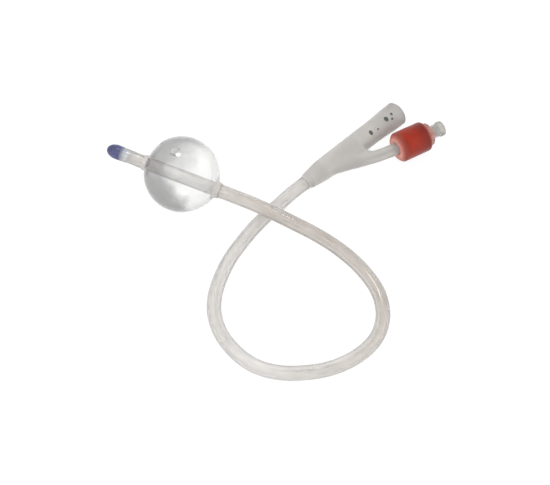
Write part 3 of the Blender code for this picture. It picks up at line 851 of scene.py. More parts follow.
def hub_skin(look):
    """One skin that forks: joined sections up to the crotch, then two branches."""
    funnel_count, arm_count, web_count = 54, 36, 9
    points = []
    faces = []

    def add(places):
        numbers = list(range(len(points), len(points) + len(places)))
        points.extend(places)
        return numbers

    def branch(ring, arc_count, stations, section):
        """Carry one of the crotch's rings outwards, ever rounder, to a closed end."""
        start = [points[k] for k in ring]
        first_angle = math.pi * arc_count / len(ring)
        for station, share in stations:
            moved, rounded = section(station)
            places = []
            for k, old in enumerate(start):
                old = np.array(moved(old))
                new = np.array(rounded(first_angle - 2 * math.pi * k / len(ring)))
                places.append(tuple(old + (new - old) * share))
            following = add(places)
            faces.extend(bridge(ring, following))
            ring = following
        faces.append(tuple(ring))

    last = None
    for x in [0.0, LIP_ROUND / 3, *np.linspace(LIP_ROUND, CROTCH_X, 56)]:
        funnel_half, arm_half = joined_section(x, funnel_count, arm_count)
        ring = add(funnel_half + arm_half[-2:0:-1])
        faces += [tuple(ring)] if last is None else bridge(last, ring)
        last = ring

    top, low = np.array(points[last[0]]), np.array(points[last[funnel_count]])
    column = add([tuple(low + (top - low) * k / (web_count + 1))
                  for k in range(1, web_count + 1)])
    blends = [(CROTCH_ROUND * (1 - math.cos(a)), math.sin(a))
              for a in np.radians(np.linspace(9.0, 90.0, 10))]

    def funnel_section(x):
        radius = funnel_radius(x)
        return (lambda old: (x, old[1], old[2]),
                lambda angle: (x, radius * math.cos(angle), radius * math.sin(angle)))

    stations = [(CROTCH_X + dx, share) for dx, share in blends]
    stations += [(x, 1.0) for x in np.linspace(stations[-1][0], HUB_LENGTH - LIP_ROUND, 26)[1:]]
    stations += [(HUB_LENGTH - LIP_ROUND / 3, 1.0), (HUB_LENGTH, 1.0)]
    branch(last[:funnel_count + 1] + column, funnel_count, stations, funnel_section)

    crotch_y = arm_point(arm_at(CROTCH_X)).y

    def arm_section(t):
        middle = arm_point(t)
        ahead = arm_turn(t)
        heading = ahead * min((middle.x - CROTCH_X) / ARM_TURN_LENGTH, 1.0)
        wide = ARM_R / math.cos(ahead - heading)

        def rounded(angle):
            side = -wide * math.cos(angle)
            return (middle.x - side * math.sin(heading), middle.y + side * math.cos(heading),
                    middle.z + ARM_R * math.sin(angle))

        return lambda old: (middle.x, old[1] + middle.y - crotch_y, old[2]), rounded

    arm_ring = ([last[0]] + last[:funnel_count - 1:-1][:arm_count - 1]
                + [last[funnel_count]] + column)
    stations = [(arm_at(CROTCH_X + dx), share) for dx, share in blends]
    stations += [(t, 1.0) for t in np.linspace(stations[-1][0], 1.0, 18)[1:]]
    stations += [(t, 1.0) for t in np.linspace(1.0, 2.0, 8)[1:]]
    steady = len(points) + len(arm_ring) * sum(t < ARM_STEADY_FROM for t, _ in stations)
    branch(arm_ring, arm_count, stations, arm_section)

    shape = bmesh.new()
    made = [shape.verts.new(HUB_AXIS @ Vector(p)) for p in points]
    for face in faces:
        shape.faces.new([made[k] for k in face])
    bmesh.ops.recalc_face_normals(shape, faces=shape.faces)
    low_x = HUB_PLACE.x + 2 * LIP_ROUND
    high_x = HUB_PLACE.x + HUB_LENGTH - 2 * LIP_ROUND
    middle = [v for v in made[:steady] if low_x < v.co.x < high_x]
    for _ in range(8):
        bmesh.ops.smooth_vert(shape, verts=middle, factor=0.5,
                              use_axis_x=True, use_axis_y=True, use_axis_z=True)
    mesh = bpy.data.meshes.new("hub_moulding")
    shape.to_mesh(mesh)
    shape.free()
    return added("hub_moulding", mesh, look)


def arm_bore():
    """The inflation channel, from the socket to the seat of the valve's barb."""
    inner_end = Vector((SOCKET_DEPTH - ARM_BORE_RUN_IN, ARM_BORE_START_Y, 0.0))
    offset = inner_end - arm_point(0.0)
    barb_seat = 2.0 - (BARB_LENGTH + BARB_END_GAP) / ARM_INSERT
    stations = [(t, ARM_BORE_R) for t in np.linspace(0.0, 1.0, 17)]
    stations += [(barb_seat, ARM_BORE_R), (barb_seat, BARB_R), (2.2, BARB_R)]
    rings = []
    for t, radius in stations:
        left = max(0.0, 1.0 - t / ARM_BORE_MERGE)
        middle = arm_point(t) + offset * left * left * (3 - 2 * left)
        heading = arm_turn(t) * (1 - left)
        rings.append([HUB_AXIS @ Vector((middle.x - radius * c * math.sin(heading),
                                         middle.y + radius * c * math.cos(heading),
                                         middle.z + radius * s)) for c, s in circle(24)])
    return lofted("arm_bore", rings)


# Geometry trees

class Shaping(Nodes):
    """A geometry tree with named inputs for its sizes, which ends in a plain mesh."""

    def __init__(self, name, **sizes):
        super().__init__(bpy.data.node_groups.new(name, "GeometryNodeTree"))
        for way in ("INPUT", "OUTPUT"):
            self.tree.interface.new_socket("Geometry", in_out=way,
                                           socket_type="NodeSocketGeometry")
        self.sizes = {}
        for label, value in sizes.items():
            made = self.tree.interface.new_socket(label.replace("_", " "), in_out="INPUT",
                                                  socket_type="NodeSocketFloat")
            made.default_value = value
            self.sizes[made.identifier] = value
        self.given = self.node("NodeGroupInput").outputs

    def position(self):
        return self.parts(self.node("GeometryNodeInputPosition").outputs[0])

    def total(self, first, *others):
        for other in others:
            first = self.maths("ADD", first, other)
        return first

    def clamped(self, value):
        return self.maths("MINIMUM", self.maths("MAXIMUM", value, 0.0), 1.0)

    def moved(self, geometry, x, y, z):
        place = self.node("ShaderNodeCombineXYZ", {"X": x, "Y": y, "Z": z}).outputs[0]
        return self.node("GeometryNodeSetPosition",
                         {"Geometry": geometry, "Position": place}).outputs[0]

    def real(self, geometry):
        return self.node("GeometryNodeRealizeInstances", {0: geometry}).outputs[0]

    def applied(self, made, geometry, look, sharp):
        """End the tree, run it on an object with these sizes, and keep the plain mesh."""
        paint = self.node("GeometryNodeSetMaterial",
                          {"Geometry": self.real(geometry), "Material": look})
        self.node("NodeGroupOutput", {"Geometry": paint.outputs[0]})
        modifier = made.modifiers.new(self.tree.name, "NODES")
        modifier.node_group = self.tree
        for identifier, value in self.sizes.items():
            modifier[identifier] = value
        finished(made)
        shaded(made.data, sharp)


def wrapped_marks(made, thickness, look):
    """Thin round plates at the mesh's points, bent round the funnel's cone about X."""
    slope = (MOUTH_R - FLARE_R) / (HUB_LENGTH - MOUTH_LAND - FLARE_X)
    tree = Shaping("funnel_marks", Thickness=thickness, Start_Radius=FLARE_R,
                   Start_Place=FLARE_X, Slope=slope, Largest_Radius=MOUTH_R)
    given = tree.given
    plate = tree.node("GeometryNodeMeshCylinder",
                      {"Vertices": 28, "Fill Segments": 4, "Radius": 1.0, "Depth": 1.0},
                      fill_type="TRIANGLE_FAN")
    size = tree.node("GeometryNodeInputNamedAttribute", {"Name": "mark_size"},
                     data_type="FLOAT_VECTOR")
    half = tree.parts(size.outputs["Attribute"])
    arc = tree.maths("DIVIDE", half["Y"], given["Largest Radius"])
    scale = tree.node("ShaderNodeCombineXYZ", {"X": half["X"], "Y": arc, "Z": given["Thickness"]})
    spots = tree.node("GeometryNodeInstanceOnPoints",
                      {"Points": given["Geometry"], "Instance": plate.outputs["Mesh"],
                       "Scale": scale.outputs[0]})
    place = tree.position()
    past = tree.maths("MAXIMUM", tree.maths("SUBTRACT", place["X"], given["Start Place"]), 0.0)
    cone = tree.total(given["Start Radius"], tree.product(past, given["Slope"]))
    radius = tree.total(tree.maths("MINIMUM", cone, given["Largest Radius"]), place["Z"])
    bent = tree.moved(tree.real(spots.outputs[0]), place["X"],
                      tree.product(radius, tree.maths("COSINE", place["Y"])),
                      tree.product(radius, tree.maths("SINE", place["Y"])))
    tree.applied(made, bent, look, 40.0)


def pleated(made, cuff_r, pleats, depth, look):
    """Swell a turned skin off its axis X, and pleat it where it draws in to its cuffs."""
    tree = Shaping("pleated_skin", Pleats=pleats, Pleat_Depth=depth, Pleat_Reach=0.16,
                   Cuff_Radius=cuff_r, Largest_Radius=BALLOON_R, Lift=BALLOON_LIFT,
                   Lift_Share=BALLOON_LIFT_SHARE)
    size = tree.given
    place = tree.position()
    radius = tree.maths("SQRT", tree.total(tree.product(place["Y"], place["Y"]),
                                           tree.product(place["Z"], place["Z"])))
    angle = tree.maths("ARCTAN2", place["Z"], place["Y"])

    # How far a point is from its cuff, from 0 there to 1 at the widest
    past = tree.maths("SUBTRACT", radius, size["Cuff Radius"])
    span = tree.maths("SUBTRACT", size["Largest Radius"], size["Cuff Radius"])
    share = tree.clamped(tree.maths("DIVIDE", past, span))
    rise = tree.maths("MINIMUM", tree.maths("DIVIDE", share, size["Lift Share"]), 1.0)

    # Two waves round the cuff, out of step on the two sides, that fade away from it
    shift = tree.product(tree.maths("GREATER_THAN", place["X"], 0.0), -1.3)
    turn = tree.total(tree.product(size["Pleats"], angle), tree.total(shift, 2.1))
    few = tree.total(tree.maths("FLOOR", tree.product(size["Pleats"], 0.5)), 1.0)
    slow = tree.maths("SINE", tree.total(tree.product(few, angle), 1.3))
    wave = tree.total(tree.maths("SINE", turn), tree.product(slow, 0.5))
    fade = tree.maths("EXPONENT", tree.maths("DIVIDE", tree.product(share, -1.0),
                                             size["Pleat Reach"]))
    start = tree.maths("MINIMUM", tree.product(share, 50.0), 1.0)
    fold = tree.product(size["Pleat Depth"], fade, start, wave)
    grow = tree.total(tree.maths("DIVIDE", fold, radius), 1.0)
    high = tree.total(tree.product(place["Z"], grow), tree.product(size["Lift"], rise))
    moved = tree.moved(size["Geometry"], place["X"], tree.product(place["Y"], grow), high)
    tree.applied(made, moved, look, 60.0)


def coiled(made, radius, wire, length, turns, look):
    """A round wire on a helix about Z, from the origin upwards."""
    tree = Shaping("return_spring", Mean_Radius=radius, Wire_Radius=wire, Length=length,
                   Turns=turns)
    size = tree.given
    helix = tree.node("GeometryNodeCurveSpiral",
                      {"Resolution": 28, "Rotations": size["Turns"],
                       "Start Radius": size["Mean Radius"], "End Radius": size["Mean Radius"],
                       "Height": size["Length"]})
    section = tree.node("GeometryNodeCurvePrimitiveCircle",
                        {"Resolution": 14, "Radius": size["Wire Radius"]})
    swept = tree.node("GeometryNodeCurveToMesh",
                      {"Fill Caps": True, "Curve": helix.outputs[0],
                       "Profile Curve": section.outputs[0]})
    tree.applied(made, swept.outputs[0], look, 50.0)


# Operators

class CATHETER_OT_stage(bpy.types.Operator):
    """Make the camera, the floor, the lamps and the pale surroundings"""
    bl_idname = "catheter.stage"
    bl_label = "Camera, Floor and Lamps"

    # Place of each lamp, and its two diameters
    lamps = {"key": ((-0.87, 0.07, 0.97), (1.4, 0.9)),
             "fill": ((0.75, -0.55, 0.60), (0.7, 0.7)),
             "spark": ((0.09, 0.40, 1.12), (0.28, 0.28))}
    aim = Vector((-0.05, 0.0, 0.01))
    floor_reach = 4.0

    def execute(self, context):
        scene = context.scene
        settings = scene.catheter.stage
        camera = self.placed(scene, "camera", bpy.data.cameras.new("camera"),
                             Vector(settings.look_at) + VIEW_SIDE.normalized() * settings.distance,
                             VIEW_SIDE.normalized().to_track_quat("Z", "Y"))
        camera.data.lens = settings.lens
        camera.data.sensor_width = 36.0
        camera.data.clip_start = 0.01
        scene.camera = camera

        for name, (place, size) in self.lamps.items():
            lamp = bpy.data.lights.new(name + "_lamp", "AREA")
            lamp.shape = "ELLIPSE"
            lamp.size, lamp.size_y = size
            lamp.energy = getattr(settings, name + "_power")
            place = Vector(place)
            self.placed(scene, lamp.name, lamp, place,
                        (self.aim - place).to_track_quat("-Z", "Y"))
        self.surround(scene)

        far = self.floor_reach
        corners = [(-far, -far, 0.0), (far, -far, 0.0), (far, far, 0.0), (-far, far, 0.0)]
        floor = piece("floor", corners, [(0, 1, 2, 3)], self.floor_look(settings.floor))
        scene.view_settings.view_transform = "Standard"
        return {"FINISHED"}

    def placed(self, scene, name, data, place, turn):
        made = bpy.data.objects.new(name, data)
        made.location = place
        made.rotation_euler = turn.to_euler()
        scene.collection.objects.link(made)
        return made

    def surround(self, scene):
        """A soft room, white low down and greyer overhead."""
        world = bpy.data.worlds.new("soft_room")
        scene.world = world
        world.use_nodes = True
        nodes = Nodes(world.node_tree)
        place = nodes.node("ShaderNodeTexCoord").outputs["Generated"]
        ramp = nodes.node("ShaderNodeValToRGB", {0: nodes.parts(place)["Z"]})
        low, high = ramp.color_ramp.elements
        low.position, low.color = 0.22, (1.0, 1.0, 1.0, 1.0)
        high.position, high.color = 0.90, (0.55, 0.55, 0.56, 1.0)
        nodes.feed(nodes.tree.nodes["Background"].inputs["Color"], ramp.outputs[0])

    def floor_look(self, colour):
        """Pale paper that shows white to the camera, in gloss and through glass."""
        material = bpy.data.materials.new("pale_floor")
        material.use_nodes = True
        material.node_tree.nodes.clear()
        nodes = Nodes(material.node_tree)
        path = nodes.node("ShaderNodeLightPath").outputs
        seen = path["Is Camera Ray"]
        for name in ("Is Glossy Ray", "Is Transmission Ray"):
            seen = nodes.maths("MAXIMUM", seen, path[name])
        plain = nodes.node("ShaderNodeBsdfDiffuse", {"Color": filled(colour)})
        shadowed = nodes.node("ShaderNodeBsdfDiffuse", {"Color": (0.18, 0.18, 0.18, 1.0)})
        glow = nodes.node("ShaderNodeEmission", {"Color": (1.0, 1.0, 1.0, 1.0), "Strength": 0.90})
        bright = nodes.node("ShaderNodeAddShader", {0: shadowed.outputs[0], 1: glow.outputs[0]})
        mix = nodes.node("ShaderNodeMixShader",
                         {0: seen, 1: plain.outputs[0], 2: bright.outputs[0]})
        nodes.node("ShaderNodeOutputMaterial", {"Surface": mix.outputs[0]})
        return material


class CATHETER_OT_tube(bpy.types.Operator):
    """Make the long silicone tube with its two channels and its drainage eyes"""
    bl_idname = "catheter.tube"
    bl_label = "Silicone Tube"

    step = 0.0008
    sides = 48
    drain_sides = 24
    inflation_sides = 10
    # Place of each drainage eye past the balloon's middle, and the side that it is on
    eyes = ((0.0208, 1), (0.0234, -1))
    # Height over the tube's axis of an eye's levels, and how much wider each is
    eye_levels = ((0.0006, 0.85), (0.0020, 0.9), (0.0026, 1.0), (0.0029, 1.12), (0.0036, 1.5))
    hole_radius = 0.0003
    hole_reach = 0.002

    def execute(self, context):
        settings = context.scene.catheter.tube
        path = smooth(tube_route(), self.step)
        frames = carried(path, (0.0, -1.0, 0.0))
        loops = self.section(settings)
        points = []
        faces = []
        ends = [[], []]
        for loop in loops:
            rings = [[tuple(place + side * a + up * b) for a, b in loop]
                     for place, (_, side, up) in zip(path, frames)]
            more, walls, *caps = tunnel(rings, len(points))
            points += more
            faces += walls
            for numbers, ring in zip(ends, caps):
                numbers.extend(ring)
        flat = [[Vector((a, b, 0.0)) for a, b in loop] for loop in loops]
        for numbers in ends:
            faces += [tuple(numbers[k] for k in triangle) for triangle in tessellate_polygon(flat)]
        tube = piece("tube", points, faces, tube_silicone(settings.colour, settings.clearness))
        self.unwrap(tube.data, loops, len(path))

        cutters = [self.eye(settings, along, sign) for along, sign in self.eyes]
        cut(tube, cutters + [self.inflation_eye(settings, path, frames)])
        ridden(tube, "shaft", slot="clear_silicone")
        return {"FINISHED"}

    def section(self, settings):
        """The loops of the tube's cross-section, as (side, up) points."""
        tube = settings.diameter / 2
        drain = settings.drain_lumen / 2
        small = settings.inflation_lumen / 2
        return [[(centre + radius * c, radius * s) for c, s in circle(count)]
                for radius, count, centre in (
                    (tube, self.sides, 0.0), (drain, self.drain_sides, -tube * 0.12),
                    (small, self.inflation_sides, tube - small * 2.3))]

    def unwrap(self, mesh, loops, stations):
        """U runs once round each channel's wall and V runs along the tube in centimetres."""
        number = np.zeros(len(mesh.loops), dtype=np.int64)
        mesh.loops.foreach_get("vertex_index", number)
        uv = np.zeros((len(number), 2))
        begin = 0
        for count in map(len, loops):
            inside = (number >= begin) & (number < begin + count * stations)
            local = number[inside] - begin
            uv[inside, 0] = (local % count) / count
            uv[inside, 1] = (local // count) * self.step * 100.0
            begin += count * stations
        for polygon in mesh.polygons:
            across = uv[polygon.loop_start:polygon.loop_start + polygon.loop_total, 0]
            if across.max() - across.min() > 0.5:
                across[across < 0.5] += 1.0
        mesh.uv_layers.new(name="around").data.foreach_set("uv", uv.ravel())

    def eye(self, settings, along, sign):
        """A rounded slot through the wall into the drainage channel."""
        ahead = TIP_AXIS.to_3x3() @ Vector((1.0, 0.0, 0.0))
        out = ahead.cross(VIEW_SIDE).normalized() * sign
        across = out.cross(ahead)
        centre = TIP_AXIS @ Vector((along, 0.0, 0.0))
        round_end = settings.eye_width / 2
        half = settings.eye_length / 2 - round_end
        outline = [((half if c > 0 else -half) + round_end * c, round_end * s)
                   for c, s in circle(32)]
        return lofted("eye", [[centre + out * height + ahead * a * grow + across * b * grow
                               for a, b in outline] for height, grow in self.eye_levels])

    def inflation_eye(self, settings, path, frames):
        """The small hole from the inflation channel into the balloon."""
        nearest = int(np.argmin(np.linalg.norm(path - np.array(BALLOON_PLACE), axis=1)))
        ahead, side, up = frames[nearest]
        low = settings.diameter / 2 - settings.inflation_lumen * 1.1
        axis = Matrix(np.array([side, up, ahead]).T.tolist()).to_4x4()
        return turned("hole", Matrix.Translation(Vector(path[nearest])) @ axis,
                      [(low, self.hole_radius), (low + self.hole_reach, self.hole_radius)],
                      closed=False, sides=16)


class CATHETER_OT_tip(bpy.types.Operator):
    """Make the rounded blue tip and the bond that joins it to the tube"""
    bl_idname = "catheter.tip"
    bl_label = "Blue Tip"

    edge_round = 0.0002
    bond_colour = (0.64, 0.67, 0.71)
    # The bond's bead: places along from the joint, and heights over the tube
    bead = ((-0.0006, 0.00002), (-0.0003, 0.00008), (0.0, 0.0001), (0.0003, 0.00008),
            (0.0006, 0.00002), (0.0006, -BOND_FOOT), (-0.0006, -BOND_FOOT))

    def execute(self, context):
        settings = context.scene.catheter.tip
        start = TIP_JOINT
        radius = TUBE_R + TIP_SWELL
        shoulder = TIP_LENGTH - TIP_NOSE + BOND_GAP
        profile = [(start - SEATED, TUBE_R - self.edge_round),
                   (start + self.edge_round, TUBE_R)]
        profile += [(start + shoulder * t, TUBE_R + TIP_SWELL * math.sin(math.pi / 2 * t))
                    for t in np.linspace(0.15, 1.0, 8)]
        profile += [(start + shoulder + TIP_NOSE * math.sin(angle), radius * math.cos(angle))
                    for angle in np.radians(np.linspace(5.0, 88.0, 24))]
        tip = turned("tip_moulding", TIP_AXIS, profile, tip_silicone(settings.colour),
                     closed=False)
        ridden(tip, "tip", slot="blue_silicone")

        bead = [(start + along, TUBE_R + height) for along, height in self.bead]
        bond = turned("tip_bond", TIP_AXIS, bead, bond_adhesive(self.bond_colour))
        ridden(bond, slot="clear_silicone")
        return {"FINISHED"}


class CATHETER_OT_balloon(bpy.types.Operator):
    """Make the blown-up balloon: its skin, and the drops of water left in it"""
    bl_idname = "catheter.balloon"
    bl_label = "Retention Balloon"

    wall_steps = 40
    cuff_chamfer = 0.0003
    # Direction of the largest drop from the balloon's middle, and the small ones: how many,
    # how far off the top as a slope, their radii, and how thick all are for their radius
    main_drop = (-0.163, 0.008, 0.986)
    small_drops = 4
    drop_slopes = (0.19, 0.38)
    drop_radii = (0.00022, 0.00048)
    drop_bulge = 0.75
    drop_seed = 4

    def execute(self, context):
        settings = context.scene.catheter.balloon
        end = (BALLOON_R + CUFF_LENGTH, TUBE_R + CUFF_GAP)
        outer_cuff = TUBE_R + CUFF_GAP + CUFF_WALL
        outer = self.half(BALLOON_R, outer_cuff) + [end]
        inner = self.half(BALLOON_R - BALLOON_WALL, TUBE_R - FILM)
        outer, inner = ([(-x, r) for x, r in reversed(half[1:])] + half
                        for half in (outer, inner))
        skin = turned("balloon_skin", Matrix.Identity(4), outer + inner[::-1], sides=132)
        pleated(skin, outer_cuff, settings.pleats, settings.pleat_depth,
                balloon_silicone(settings.colour))
        skin.data.transform(TIP_AXIS)
        ridden(skin, "balloon", slot="balloon_silicone")
        self.drops(settings.drop, sterile_water())
        return {"FINISHED"}

    def half(self, radius, cuff_radius):
        """Half of the wall, from the middle of one side to its cuff's end."""
        last = math.asin((cuff_radius + CUFF_FILLET) / radius)
        half = []
        for k in range(self.wall_steps + 1):
            angle = math.pi / 2 + (last - math.pi / 2) * k / self.wall_steps
            half.append((radius * math.cos(angle), radius * math.sin(angle)))
        begin = half[-1]
        foot = (begin[0] + CUFF_FILLET_LENGTH, cuff_radius)
        corner = (begin[0] + CUFF_FILLET_LENGTH * 0.35, cuff_radius)
        half += [curved(begin, corner, foot, t) for t in np.linspace(0.0, 1.0, 9)[1:]]
        return half + [(BALLOON_R + CUFF_LENGTH - self.cuff_chamfer, cuff_radius)]

    def drops(self, size, look):
        """Lens-shaped drops that cling to the skin's inner side near its highest point."""
        wall = BALLOON_R - BALLOON_WALL
        centre = TIP_AXIS @ Vector((0.0, 0.0, BALLOON_LIFT))
        spots = [(self.main_drop, size / 2, 48)]
        rng = np.random.default_rng(self.drop_seed)
        for _ in range(self.small_drops):
            angle, away = rng.uniform(0.0, 2 * math.pi), rng.uniform(*self.drop_slopes)
            direction = (away * math.cos(angle), away * math.sin(angle), 1.0)
            spots.append((direction, rng.uniform(*self.drop_radii), 20))
        shape = bmesh.new()
        for direction, radius, sides in spots:
            axis = Vector(direction).to_track_quat("X", "Z").to_matrix().to_4x4()
            foot = math.sqrt(wall ** 2 - radius ** 2)
            profile = [(math.sqrt((wall + FILM) ** 2 - (radius * t) ** 2), radius * t)
                       for t in np.linspace(0.02, 1.0, 9)]
            profile += [(foot - self.drop_bulge * radius * (1 - t * t), radius * t)
                        for t in np.linspace(0.97, 0.02, 14)]
            drop = turned("drop", Matrix.Translation(centre) @ axis, profile, closed=False,
                          sides=sides)
            shape.from_mesh(drop.data)
            bpy.data.objects.remove(drop)
        mesh = bpy.data.meshes.new("balloon_drops")
        shape.to_mesh(mesh)
        shape.free()
        ridden(added("balloon_drops", mesh, look), slot="balloon_silicone")


class CATHETER_OT_hub(bpy.types.Operator):
    """Make the forked hub, the bond at its neck and its printed marks"""
    bl_idname = "catheter.hub"
    bl_label = "Hub"

    lead_in = 0.0012
    bond_start = -0.0024
    mouth_chamfer = 0.0005
    mouth_flare = 0.0004
    # Place along the funnel, turn about it, and half length and half width of each mark
    marks = [(0.0370, 121.0, 0.0009, 0.0013), (0.0475, 113.0, 0.0010, 0.0013),
             (0.0512, 109.0, 0.0005, 0.0007), (0.0500, 129.0, 0.0006, 0.0005),
             (0.0411, 128.0, 0.0004, 0.0005)]

    def execute(self, context):
        settings = context.scene.catheter.hub
        look = hub_silicone(settings.colour, settings.clearness)
        hub = hub_skin(look)
        socket = TUBE_R + SEATED
        grow = (MOUTH_BORE_R - FUNNEL_BORE_R) / (HUB_LENGTH - FUNNEL_BORE_X)
        profile = [(-BOND_GAP, SOCKET_R), (self.lead_in, socket), (SOCKET_DEPTH, socket),
                   (SOCKET_DEPTH, LUMEN_R), (FUNNEL_BORE_X, FUNNEL_BORE_R),
                   (HUB_LENGTH - self.mouth_chamfer, MOUTH_BORE_R - grow * self.mouth_chamfer),
                   (HUB_LENGTH + BOND_GAP, MOUTH_BORE_R + self.mouth_flare)]
        bore = turned("drain_bore", HUB_AXIS, profile, closed=False)
        cut(hub, [bore, arm_bore()])
        ridden(hub, "hub", slot="frosted_silicone")

        under = TUBE_R - BOND_FOOT
        bead = [(self.bond_start, TUBE_R + 0.00001), (-0.0012, TUBE_R + 0.00012),
                (-0.0004, TUBE_R + 0.0003), (0.0001, NECK_R - NECK_WALL / 2),
                (self.lead_in, SOCKET_R - BOND_FOOT), (self.lead_in, under),
                (self.bond_start, under)]
        bond = turned("neck_bond", HUB_AXIS, softened(bead, 0.0004), look)
        ridden(bond, slot="clear_silicone")
        ridden(self.print_marks(settings), slot="frosted_silicone")
        return {"FINISHED"}

    def print_marks(self, settings):
        """Ink marks wrapped on the funnel by a node tree."""
        mesh = bpy.data.meshes.new("print_marks")
        mesh.from_pydata([(x, math.radians(turn), 0.0) for x, turn, _, _ in self.marks], [], [])
        size = mesh.attributes.new("mark_size", "FLOAT_VECTOR", "POINT")
        for spot, (_, _, length, width) in zip(size.data, self.marks):
            spot.vector = (length, width, 1.0)
        made = added("print_marks", mesh)
        wrapped_marks(made, settings.mark_depth, print_ink(settings.ink))
        made.data.transform(HUB_AXIS)
        return made


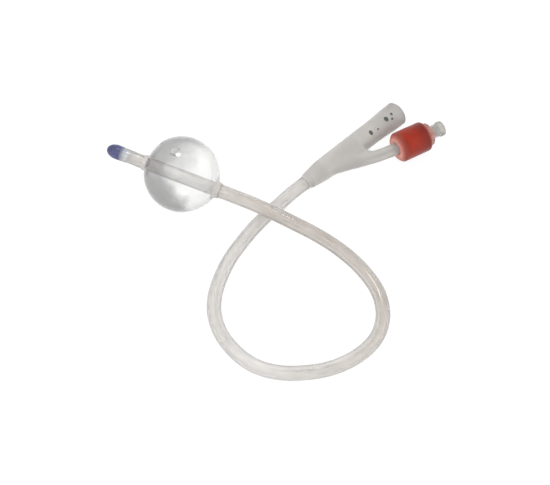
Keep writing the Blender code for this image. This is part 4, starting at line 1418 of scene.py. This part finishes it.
class CATHETER_OT_valve(bpy.types.Operator):
    """Make the inflation valve: sleeve, clear port, barb, plunger, seal and spring"""
    bl_idname = "catheter.valve"
    bl_label = "Inflation Valve"

    tail_chamfer = 0.0001

    def execute(self, context):
        settings = context.scene.catheter.valve
        arm = ARM_R + 2 * FILM
        bore = HOUSING_R + FILM
        end = SLEEVE_LENGTH - SLEEVE_CHAMFER
        sleeve = softened([
            (0.0, arm), (0.0, SLEEVE_R - SLEEVE_CHAMFER), (SLEEVE_CHAMFER, SLEEVE_R),
            (end, SLEEVE_R), (SLEEVE_LENGTH, SLEEVE_R - SLEEVE_CHAMFER), (SLEEVE_LENGTH, bore),
            (ARM_INSERT, bore), (ARM_INSERT, arm)], 0.0005)
        made = turned("size_sleeve", VALVE_AXIS, sleeve, sleeve_plastic(settings.sleeve_colour),
                      sides=96)
        ridden(made, "valve_sleeve", slot="red_plastic")

        flange = SLEEVE_LENGTH + SEATED
        cone = flange + FLANGE_LENGTH
        lip = PORT_END - PORT_LIP_LENGTH
        housing = softened([
            (DISC_START, CHAMBER_R), (DISC_START, HOUSING_R), (flange, HOUSING_R),
            (flange, FLANGE_R), (cone, FLANGE_R), (cone + CONE_LENGTH, PORT_R), (lip, PORT_R),
            (lip + LIP_ROUND, PORT_LIP_R), (PORT_END, PORT_LIP_R), (PORT_END, LUER_MOUTH_R),
            (LUER_END, LUER_MOUTH_R - LUER_TAPER * LUER_DEPTH / 2), (LUER_END, THROAT_R),
            (CHAMBER_END, THROAT_R), (CHAMBER_END, CHAMBER_R)], 0.0003)
        made = turned("port_housing", VALVE_AXIS, housing, port_plastic(settings.port_colour))
        ridden(made, "valve_housing", slot="clear_plastic")

        barb_end = ARM_INSERT - BARB_LENGTH
        barb_back = barb_end + BARB_TAPER_LENGTH
        disc = CHAMBER_R - SEAT_GAP / 2
        fitting = softened([
            (barb_end, BARB_BORE_R), (barb_end, BARB_TUBE_R), (barb_back, BARB_R),
            (barb_back, BARB_TUBE_R), (DISC_START, BARB_TUBE_R), (DISC_START, disc),
            (DISC_END, disc), (DISC_END, BARB_BORE_R)], 0.0001, steps=3)
        white = moulded_plastic("white_plastic", (0.80, 0.80, 0.78), 0.30)
        made = turned("barb_fitting", VALVE_AXIS, fitting, white, sides=48)
        ridden(made, "valve_end", slot="white_plastic")

        self.stem(white)
        self.seal()
        self.spring(settings)
        return {"FINISHED"}

    def stem(self, look):
        """The plunger's tail, head and nose, with a cross of slots in the nose's end."""
        nose_end = PORT_END - SYRINGE_REACH + STROKE
        tail_end = HEAD_START - TAIL_LENGTH
        head_end = HEAD_START + HEAD_LENGTH
        profile = [
            (tail_end, TAIL_R - self.tail_chamfer), (tail_end + self.tail_chamfer, TAIL_R),
            (HEAD_START, TAIL_R),
            (HEAD_START, HEAD_R), (head_end, HEAD_R), (head_end, NOSE_R),
            (nose_end - NOSE_EDGE, NOSE_R), (nose_end, NOSE_R - NOSE_EDGE)]
        stem = turned("plunger_stem", VALVE_AXIS,
                      softened(profile, 0.00012, steps=3, closed=False), look, closed=False,
                      sides=48)
        half = NOSE_SLOT / 2
        depth = 2 * NOSE_SLOT
        faces = [(0, 1, 3, 2), (4, 6, 7, 5), (0, 4, 5, 1), (2, 3, 7, 6), (0, 2, 6, 4),
                 (1, 5, 7, 3)]
        cutters = []
        for turn in (0.0, math.pi / 2):
            across = VALVE_AXIS @ Matrix.Rotation(turn, 4, "X")
            corners = [across @ Vector((x, y, z)) for x in (nose_end - depth, nose_end + depth)
                       for y in (-half, half) for z in (-2 * NOSE_R, 2 * NOSE_R)]
            cutters.append(piece("slot", corners, faces))
        cut(stem, cutters)
        ridden(stem, "valve_stem", slot="white_plastic", body=PLUNGER)

    def seal(self):
        end = SEAL_START + SEAL_LENGTH
        ring = softened([(SEAL_START, NOSE_R), (SEAL_START, SEAL_R), (end, SEAL_R), (end, NOSE_R)],
                        0.0002)
        rubber = moulded_plastic("seal_rubber", (0.045, 0.045, 0.045), 0.55)
        seal = turned("plunger_seal", VALVE_AXIS, ring, rubber, sides=48)
        ridden(seal, "valve_seal", slot="seal_rubber", body=PLUNGER)

    def spring(self, settings):
        start = DISC_END + settings.wire / 2 + SEATED
        length = HEAD_START - SEATED - settings.wire / 2 - start
        made = added("return_spring", bpy.data.meshes.new("return_spring"))
        coiled(made, settings.spring_diameter / 2, settings.wire / 2, length,
               settings.spring_turns, drawn_wire())
        made.data.transform(VALVE_AXIS @ Matrix.Translation((start, 0.0, 0.0))
                            @ Matrix.Rotation(math.pi / 2, 4, "Y"))
        ridden(made, "valve_spring", slot="spring_steel")
        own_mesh(made)


OPERATORS = {"stage": CATHETER_OT_stage, "tip": CATHETER_OT_tip, "balloon": CATHETER_OT_balloon,
             "tube": CATHETER_OT_tube, "hub": CATHETER_OT_hub, "valve": CATHETER_OT_valve}


class CATHETER_PT_panel(bpy.types.Panel):
    """The catheter's pieces and their settings"""
    bl_idname = "CATHETER_PT_panel"
    bl_label = "Balloon Catheter"
    bl_space_type = "VIEW_3D"
    bl_region_type = "UI"
    bl_category = "Catheter"

    def draw(self, context):
        for name, operator in OPERATORS.items():
            box = self.layout.box()
            box.operator(operator.bl_idname)
            group = getattr(context.scene.catheter, name)
            for setting in group.__annotations__:
                box.prop(group, setting)


CLASSES = (TubeSettings, TipSettings, BalloonSettings, HubSettings, ValveSettings, StageSettings,
           CatheterSettings, *OPERATORS.values(), CATHETER_PT_panel)


def register():
    for each in CLASSES:
        bpy.utils.register_class(each)
    bpy.types.Scene.catheter = PointerProperty(type=CatheterSettings)


def unregister():
    del bpy.types.Scene.catheter
    for each in reversed(CLASSES):
        bpy.utils.unregister_class(each)


def main():
    register()
    bpy.ops.catheter.stage()
    bpy.ops.catheter.tip()
    bpy.ops.catheter.balloon()
    bpy.ops.catheter.tube()
    bpy.ops.catheter.hub()
    bpy.ops.catheter.valve()


if __name__ == "__main__":
    main()
